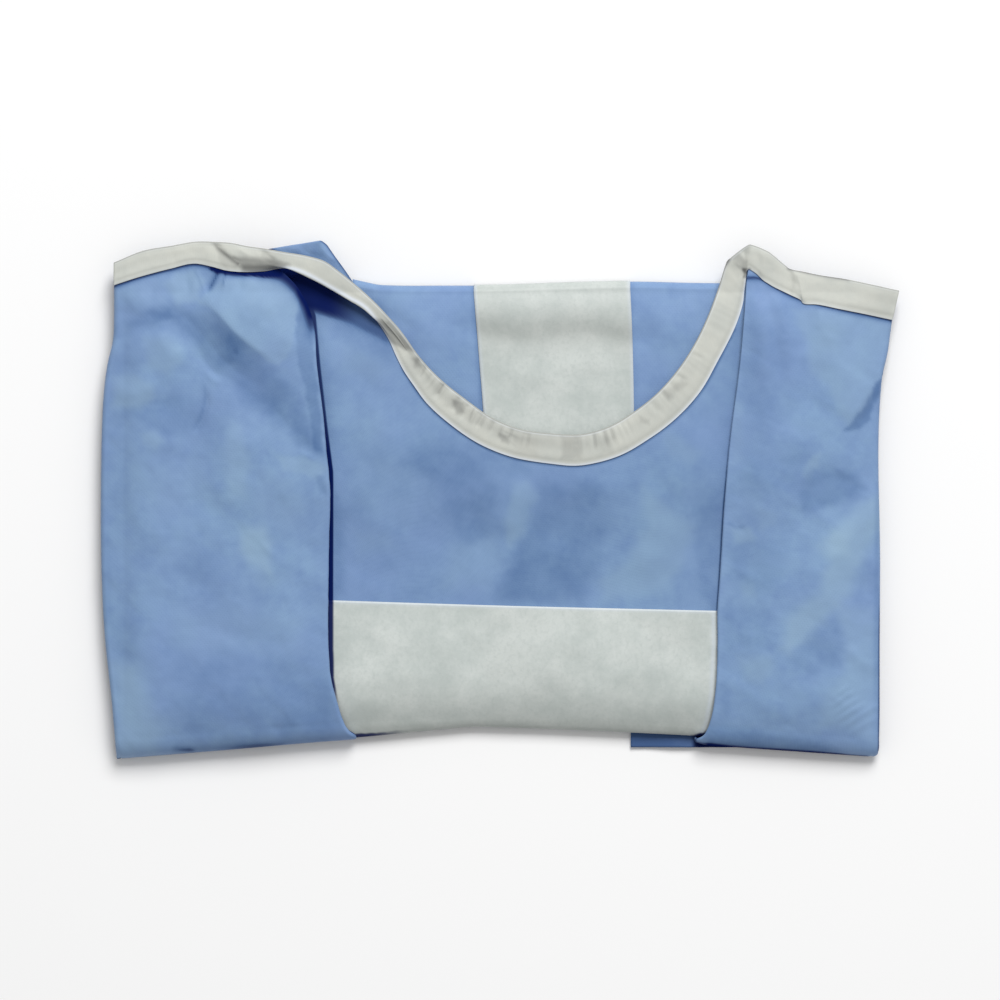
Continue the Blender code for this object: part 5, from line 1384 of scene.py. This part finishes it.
# A row for each section from the left back neck to the right: free edge x, y, sewn edge
# x, y, how far it lies on a back panel (1) or the front (0), lift of the free edge and
# of the lengthwise bend, and the bend's place between the free and the sewn edge.
binding = {
    "stations": 620, "perSpan": 7, "wall": 0.5, "over": 0.95, "crown": 0.2, "swell": 0.35,
    "freeEdge": ((4.5, -1.75), (1.2, -1.65), (0.0, -0.85), (0.9, 0.0)),    # inward, up
    "sewnEdge": ((0.5, 0.0), (0.0, -0.35)),
    "sewnRow": (2.6, 0.9, 0.12), "freeRow": (2.2, 0.9, 0.10),    # place, width, depth
    # painted shade along the sewn row (sewnShade)
    "sewnShade": (2.6, 0.8, 0.05), "edgeFade": 3.0,
    # gathers: weight, run and the slower bends of each wave; how the whole comes and goes
    "gathers": ((1.0, 0.83, ((2.6, 5.3), (1.9, 11.0))), (0.8, 1.7, ((2.8, 9.0),))),
    "gatherCome": (0.55, 0.45, 17.0, ((2.0, 29.0),)), "gatherHeight": (0.04, 0.20),
    "gatherSide": (0.75, 0.35), "gatherFrom": (-64.0, -36.0), "gatherTo": (126.0, 70.0),
    # painted shade in the gathers' valleys, a little all over and on the turned-under edges;
    "ribShade": ((0.1, -1.4, 0.27),), "leastShade": 0.02, "underShade": 0.4,
    # painted highlight along both edges (rim), fainter towards both ends
    "rimWidth": 1.1, "rimFree": 0.8, "rimLeast": 0.35,
    "rimFrom": (-170.0, -130.0), "rimTo": (156.0, 150.0),
    "sections": [
        (-239.6, 147.2, -239.6, 133.0, 1.0, 0.0, 0.0, 0.5),
        (-220.7, 154.7, -222.0, 138.6, 1.0, 0.0, 0.3, 0.5),
        (-204.0, 157.6, -204.6, 143.2, 1.0, 0.0, 0.3, 0.5),
        (-186.9, 160.3, -188.5, 146.4, 1.0, 0.0, 0.4, 0.5),
        (-176.7, 160.0, -178.6, 144.5, 1.0, 0.0, 0.9, 0.5),
        (-166.8, 159.3, -168.6, 141.9, 1.0, 0.2, 1.0, 0.5),
        (-157.0, 157.3, -157.5, 141.1, 1.0, 1.0, 1.6, 0.5),
        (-146.5, 155.8, -146.5, 141.6, 1.0, 2.4, 2.6, 0.6),
        (-134.0, 153.6, -134.0, 143.6, 0.8, 4.8, 4.4, 0.95),
        (-119.7, 151.2, -122.6, 141.4, 0.2, 6.8, 6.4, 1.15),
        (-108.5, 147.8, -112.0, 136.0, 0.0, 7.2, 6.6, 1.10),
        (-100.0, 141.8, -104.0, 131.4, 0.0, 7.0, 6.4, 1.10),
        (-90.5, 134.2, -94.5, 126.0, 0.0, 6.6, 5.8, 1.15),
        (-75.6, 120.6, -80.4, 116.4, 0.0, 5.0, 4.0, 1.20),
        (-69.5, 114.0, -73.6, 107.0, 0.0, 4.4, 2.0, 0.80),
        (-62.6, 106.3, -68.4, 98.2, 0.0, 3.4, 1.3, 0.52),
        (-57.8, 99.9, -64.6, 89.6, 0.0, 2.4, 0.8, 0.40),
        (-53.3, 93.3, -60.4, 81.3, 0.0, 1.6, 0.6, 0.34),
        (-45.3, 83.4, -52.7, 69.8, 0.0, 0.9, 0.4, 0.35),
        (-35.3, 73.5, -45.3, 59.8, 0.0, 0.3, 0.3, 0.5),
        (-22.3, 63.2, -32.6, 48.2, 0.0, 0.0, 0.3, 0.5),
        (-2.2, 49.5, -9.9, 33.2, 0.0, 0.0, 0.3, 0.5),
        (13.0, 43.8, 8.1, 26.4, 0.0, 0.0, 0.3, 0.5),
        (30.1, 41.4, 30.1, 22.6, 0.0, 0.0, 0.3, 0.5),
        (52.1, 41.0, 53.3, 21.8, 0.0, 0.0, 0.3, 0.5),
        (67.0, 45.3, 73.0, 27.0, 0.0, 0.0, 0.3, 0.5),
        (82.8, 54.6, 93.0, 38.3, 0.0, 0.0, 0.3, 0.5),
        (96.9, 65.8, 109.1, 50.6, 0.0, 0.0, 0.3, 0.5),
        (109.7, 80.2, 124.0, 67.0, 0.0, 0.0, 0.3, 0.5),
        (120.3, 96.4, 135.4, 86.9, 0.0, 0.2, 0.4, 0.5),
        (128.7, 113.8, 145.2, 106.0, 0.0, 0.8, 0.8, 0.5),
        (135.5, 132.0, 150.6, 122.0, 0.0, 2.0, 2.0, 0.5),
        (139.9, 146.0, 151.6, 130.5, 0.15, 3.6, 3.2, 0.5),
        (140.8, 148.2, 151.9, 132.5, 0.25, 3.6, 3.2, 0.5),
        (142.6, 149.8, 152.2, 134.8, 0.4, 3.6, 3.2, 0.5),
        (148.6, 154.6, 152.7, 139.6, 0.7, 2.6, 2.6, 0.5),
        (153.4, 157.8, 153.4, 142.4, 0.95, 1.6, 1.9, 0.5),
        (154.7, 158.4, 154.4, 143.0, 1.0, 1.4, 1.7, 0.5),
        (156.4, 158.0, 156.6, 141.8, 1.0, 1.1, 1.5, 0.5),
        (165.0, 154.6, 164.0, 135.4, 1.0, 0.3, 0.8, 0.5),
        (166.6, 153.8, 165.6, 134.4, 1.0, 0.2, 0.7, 0.5),
        (168.2, 152.6, 167.0, 133.5, 1.0, 0.2, 0.7, 0.5),
        (177.6, 144.8, 176.0, 128.8, 1.0, 0.0, 0.4, 0.5),
        (179.4, 143.4, 180.6, 126.6, 1.0, 0.0, 0.3, 0.5),
        (181.4, 142.8, 184.6, 124.8, 1.0, 0.0, 0.5, 0.5),
        (187.6, 141.6, 187.6, 121.9, 1.0, 0.0, 0.8, 0.5),
        (198.4, 139.4, 196.5, 121.0, 1.0, 0.0, 0.3, 0.5),
        (213.9, 137.0, 210.8, 118.1, 1.0, 0.0, 0.3, 0.5),
        (230.6, 133.6, 226.9, 115.0, 1.0, 0.0, 0.3, 0.5),
        (247.7, 129.9, 243.5, 111.6, 1.0, 0.0, 0.0, 0.5),
    ],
    # creases in the tape, as lines in the plan
    "creases": [
        (((-176.5, 160.5), (-172, 154), (-166, 149.5), (-158, 147)), 1.4, 3.6, -1.2, 0.7, "s"),
        (((-164, 158), (-158, 153), (-150, 150)), 2.5, 2.5, 0.7, 0.5, ""),
        (((-147, 156), (-143, 151), (-138, 148)), 1.4, 2.4, -0.8, 0.6, "s"),
        (((183, 143), (186, 134), (188, 123)), 1.4, 2.2, 1.0, 0.7, "se"),
        (((180, 143), (181, 134), (179, 127)), 1.8, 1.4, -0.7, 0.5, "se"),
        (((150, 157), (152, 148), (151, 140)), 1.8, 2.2, -1.0, 0.6, "se"),
        (((143, 150), (147, 146), (152, 143)), 1.6, 1.6, 0.7, 0.5, ""),
        (((160, 157), (163, 149), (162, 140)), 2.6, 2.0, 0.5, 0.4, "se"),
        # gathers on the inner half, to the left of the middle
        (((-46.5, 83.5), (-49, 79.5), (-51, 75)), 1.1, 1.6, -0.6, 0.6, "s"),
        (((-40.5, 76), (-43, 72.5), (-46, 68)), 1.3, 1.0, 0.45, 0.6, "s"),
        (((-36, 71), (-38, 67), (-41, 62)), 1.0, 1.5, -0.75, 0.6, "s"),
        (((-30, 66), (-32, 62), (-34, 57)), 1.4, 1.1, 0.5, 0.6, "s"),
        (((-26, 62), (-28, 58), (-30, 54)), 0.9, 1.4, -0.7, 0.6, "s"),
        (((-20.5, 58), (-22.5, 54), (-25, 49)), 1.2, 1.0, -0.6, 0.6, "s"),
        (((-16, 55.5), (-17, 51), (-19, 47)), 1.0, 1.4, 0.5, 0.6, "s"),
        (((-12, 53.5), (-13, 49), (-15, 44)), 1.0, 1.3, -0.75, 0.6, "s"),
        (((-4.5, 50), (-5.5, 46), (-7, 41)), 1.4, 1.1, -0.6, 0.6, "s"),
        (((2, 47), (1.4, 42.5), (0, 38)), 1.2, 1.6, 0.45, 0.5, "s"),
        (((7, 45.5), (6.5, 41), (5.5, 36)), 1.0, 1.4, -0.55, 0.6, "s"),
        (((17, 43), (16.5, 39), (16, 34)), 1.3, 1.3, -0.4, 0.5, "s"),
        (((47, 41), (47.5, 37), (47, 32)), 1.2, 1.5, -0.4, 0.5, "s"),
        (((92, 61.5), (95, 58), (98, 53)), 1.3, 1.4, -0.5, 0.5, "s"),
        (((101, 69.5), (105, 66.5), (109, 63)), 1.2, 1.5, 0.45, 0.5, "s"),
        (((108, 78), (112, 76), (117, 73)), 1.4, 1.2, -0.55, 0.6, "s"),
        (((117, 91), (122, 89), (127, 87)), 1.3, 1.3, -0.4, 0.5, "s"),
    ],
    # painted shade: lines on the tape
    "shades": [
        (((-180, 162.5), (-175.4, 157.2), (-168, 150.6), (-162.5, 146.4)),
         0.8, 1.6, 0.50, 0.0, "e"),
        (((-35, 71.5), (-38, 66.5)), 0.8, 0.9, 0.36, 0.0, "se"),
        (((-62, 98), (-47, 78), (-36, 67), (-24, 58), (-8, 48), (10, 40), (36, 37), (70, 40)),
         4.6, 4.6, 0.13, 0.0, ""),
        (((-16, 56.5), (-18, 52), (-19.5, 48)), 0.8, 0.9, 0.24, 0.0, "s"),
        (((-9, 52), (-11, 48), (-12.5, 44.5)), 0.8, 0.9, 0.20, 0.0, "s"),
        (((0, 44), (6, 41), (14, 37)), 0.6, 0.7, 0.12, 0.0, ""),
        (((0, 41), (6, 36.5), (12, 31)), 0.6, 0.7, 0.12, 0.0, ""),
        (((4, 45.5), (12, 42.5), (20, 40)), 0.6, 0.7, 0.10, 0.0, ""),
        (((180.5, 143), (182, 134), (180, 127)), 0.9, 1.3, 0.12, 0.3, "se"),
        (((179, 143.6), (198, 139.7), (216, 136.8)), 1.1, 1.1, 0.75, 0.0, "se"),
        (((135.0, 132), (139.0, 144.6), (142, 149)), 1.1, 1.1, 0.75, 0.0, "se"),
        (((-246, 147), (-204, 158), (-186.9, 160.6), (-166, 159.6)), 0.5, 0.5, 0.15, 0.0, "se"),
        (((-239, 133.4), (-222, 139), (-204.6, 143)), 0.6, 0.6, 0.12, 0.0, "se"),
    ],
    # painted shade: patches on the tape
    "patches": [
        (((-176, 157), (-163.5, 149.5), (-163, 143), (-170, 142), (-173, 148)), 1.5, 0.20),
        (((-164, 150), (-150, 149.6), (-140, 148.4), (-130, 145.6), (-137, 141), (-150, 139.5),
          (-160, 141.5)), 2.0, 0.52),
        (((-160, 146), (-140, 145), (-134, 142), (-150, 139), (-158, 140)), 1.5, 0.18),
        (((-147, 154.5), (-140, 150), (-134, 147), (-142, 146.5), (-148, 150)), 1.0, 0.16),
        (((-77, 112.5), (-69, 110), (-61, 101.5), (-52.5, 92), (-60, 93.6), (-68, 97.6),
          (-74, 105.5)), 1.4, 0.50),
        (((-54, 87), (-49, 88), (-48, 83), (-52, 81)), 1.8, 0.32),
        (((-29, 62), (-22, 60), (-22, 54), (-27, 53)), 1.4, 0.32),
        (((0, 41), (6, 39), (5, 35), (1, 36)), 1.2, 0.28),
        (((38, 40), (50, 39), (50, 26), (38, 25)), 2.0, 0.20),
        (((8, 41), (22, 38), (22, 28), (10, 31)), 2.5, 0.10),
        (((62, 40), (70, 39), (69, 31), (62, 30)), 2.0, 0.12),
        (((85, 53), (92, 50), (93, 46), (87, 48)), 1.2, 0.18),
        (((101, 68), (106, 70), (113, 76), (116, 72), (108, 64), (104, 62)), 2.0, 0.18),
        (((-20, 50), (0, 38), (30, 28), (60, 28), (90, 46), (120, 76), (126, 74), (96, 42),
          (60, 22), (20, 22), (-24, 42)), 5.0, 0.04),
        (((143, 150), (148, 153), (153, 148), (152, 141), (147, 145)), 1.5, 0.36),
        (((152, 158), (156, 157), (155, 152), (152, 153)), 1.0, 0.18),
        (((150, 144), (155, 144), (154, 137), (151, 137)), 0.8, 0.60),
        (((160, 156), (180, 142), (246, 130), (243, 112), (187, 124), (160, 140)), 3.0, 0.09),
    ],
}


# Top faces of what the tape lies on, blended from the front to the back panels.
def bindingRest(x, y, onFlap):
    frontHeight = frontTop(x, y)
    flap = np.where(x < 0.0, flapTop(x, y, leftBack), flapTop(x, y, rightBack))
    return frontHeight + onFlap * (flap - frontHeight)


# Smooth columns through control columns (Hermite pieces of even length).
def refine(columns, perSpan):
    columns = np.stack(columns, axis=1)
    slope = np.gradient(columns, axis=1)
    where = np.linspace(0.0, columns.shape[1] - 1.0, (columns.shape[1] - 1) * perSpan + 1)
    first = np.minimum(where.astype(int), columns.shape[1] - 2)
    t = (where - first)[None, :, None]
    return hermite(t, columns[:, first], columns[:, first + 1], slope[:, first],
                   slope[:, first + 1])


# sin(length / run), bent by slower sines: rows of amount and run.
def bentSine(length, run, bends):
    return np.sin(length / run + sum(amount * np.sin(length / slow) for amount, slow in bends))


# A bell-shaped rise at a row's place, with its width and height.
def rowAt(distance, row):
    place, width, height = row
    return height * bell(distance - place, width)


# The tape as one surface: a short return under the edge it binds, the free edge, the
# lengthwise bend and the sewn edge; sewn rows press in beside both edges, and small
# gathers (bent sines of the length) run across its inner half. It also gives a painted
# highlight along both edges (rim) and painted shade (shade).
def bindingSurface():
    rows = curveThrough(binding["sections"], shares(binding["stations"]))
    free, sewn = rows[:, 0:2], rows[:, 2:4]
    onFlap, freeLift, bendLift, bendPlace = rows[:, 4:8].T
    onFlap = np.clip(onFlap, 0.0, 1.0)[:, None]
    width = np.linalg.norm(sewn - free, axis=1, keepdims=True)
    across = (sewn - free) / width
    bend = free + (sewn - free) * bendPlace[:, None]
    swell = binding["swell"] * np.minimum(1.0, 2.0 - bendPlace)
    sections = [(free + across * inward, freeLift + up) for inward, up in binding["freeEdge"]]
    sections += [
        (0.5 * (free + bend), 0.5 * (freeLift + bendLift) + binding["crown"]),
        (bend, bendLift),
        (0.5 * (bend + sewn), 0.5 * bendLift + swell),
    ]
    sections += [(sewn - across * inward, np.full(len(rows), up))
                 for inward, up in binding["sewnEdge"]]
    grid = refine([np.column_stack(section) for section in sections], binding["perSpan"])
    x, y = planOf(grid)
    steps = np.linalg.norm(np.diff((free + sewn) / 2.0, axis=0), axis=1)
    length = np.concatenate([[0.0], np.cumsum(steps)])[:, None]
    fromFree = np.linalg.norm(grid[:, :, :2] - free[:, None], axis=2)
    fromSewn = np.linalg.norm(grid[:, :, :2] - sewn[:, None], axis=2)
    top = np.arange(grid.shape[1])[None] >= (len(binding["freeEdge"]) - 1) * binding["perSpan"]
    pressed = rowAt(fromSewn, binding["sewnRow"]) + rowAt(fromFree, binding["freeRow"])
    inside = (smoothStep(0.0, binding["edgeFade"], fromFree)
              * smoothStep(0.0, binding["edgeFade"], fromSewn))
    least, more, run, bends = binding["gatherCome"]
    gathers = sum(weight * bentSine(length, *wave) for weight, *wave in binding["gathers"])
    gathers = gathers * (least + more * bentSine(length, run, bends)) * inside
    where = smoothStep(*binding["gatherFrom"], x) * smoothStep(*binding["gatherTo"], x)
    where = where * smoothStep(*binding["gatherSide"], fromFree / width)
    least, more = binding["gatherHeight"]
    relief = gathers * (least + more * where) - pressed
    relief = relief + creaseHeight(binding["creases"], x, y) * inside
    height = bindingRest(x, y, onFlap) + binding["over"] + grid[:, :, 2] + relief * top
    # painted highlight along both edges, fainter at the ends
    least, soft = binding["rimLeast"], binding["rimWidth"]
    rim = bell(fromSewn, soft) + binding["rimFree"] * bell(fromFree, soft)
    rim = rim * (least + (1.0 - least) * smoothStep(*binding["rimFrom"], x)
                 * smoothStep(*binding["rimTo"], x))
    # painted shade: lines, patches, the sewn row, the gathers' valleys and the turned-under edges
    shade = creaseHeight(binding["shades"], x, y) + patchShare(binding["patches"], x, y)
    shade = shade + rowAt(fromSewn, binding["sewnShade"]) + binding["leastShade"]
    shade = np.clip(shade + eased(0.0, binding["ribShade"], gathers * where), 0.0, 1.0)
    shade = np.where(top, shade, np.maximum(shade, binding["underShade"]))
    return np.dstack([x, y, height]), rim * top, shade


grid, rim, shade = bindingSurface()              # its columns run inwards: turned round
neckBinding = makeSheet("neck_binding_tape", grid[:, ::-1], bindingWhite,
                        {"rim": rim[:, ::-1], "shade": shade[:, ::-1]}, binding["wall"])
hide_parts("neck_binding")
print("neck binding made")


# Floor, light and camera.

studio = {
    "floor": 3.0, "floorBelow": 0.0003, "frame": 0.620, "lens": 250.0, "sensor": 36.0,
    "height": 0.014, "fill": 0.48, "key": 206.0, "keySize": 2.4, "keyAt": (0.9, 3.2, 3.4),
    "floorFinish": {"Base Color": (0.90, 0.90, 0.90, 1.0), "Roughness": 0.9,
                    "Specular IOR Level": 0.1},
}
floorMesh = bpy.data.meshes.new("floor")
half, below = studio["floor"], -studio["floorBelow"]
corners = [(-half, -half, below), (half, -half, below), (half, half, below), (-half, half, below)]
floorMesh.from_pydata(corners, [], [(0, 1, 2, 3)])
floorMesh.materials.append(Finish("paleFloor", studio["floorFinish"]).material)
addObject("floor", floorMesh)

world = bpy.data.worlds.new("softRoom")
world.use_nodes = True
backdrop = world.node_tree.nodes["Background"].inputs
backdrop["Color"].default_value = (1.0, 1.0, 1.0, 1.0)
backdrop["Strength"].default_value = studio["fill"]
bpy.context.scene.world = world

keyData = bpy.data.lights.new("key", "AREA")
keyData.energy = studio["key"]
keyData.size = studio["keySize"]
key = addObject("key", keyData)
key.location = studio["keyAt"]
aim = -np.array(studio["keyAt"])
key.rotation_euler = (np.arctan2(np.hypot(aim[0], aim[1]), -aim[2]), 0.0,
                      np.arctan2(aim[1], aim[0]) - np.pi / 2.0)

cameraData = bpy.data.cameras.new("camera")
cameraData.lens = studio["lens"]
cameraData.sensor_width = studio["sensor"]
camera = addObject("camera", cameraData)
reach = studio["frame"] * studio["lens"] / studio["sensor"]
camera.location = (0.0, 0.0, reach + studio["height"])
bpy.context.scene.camera = camera
bpy.context.scene.view_settings.view_transform = "Standard"
print("floor, light and camera set")
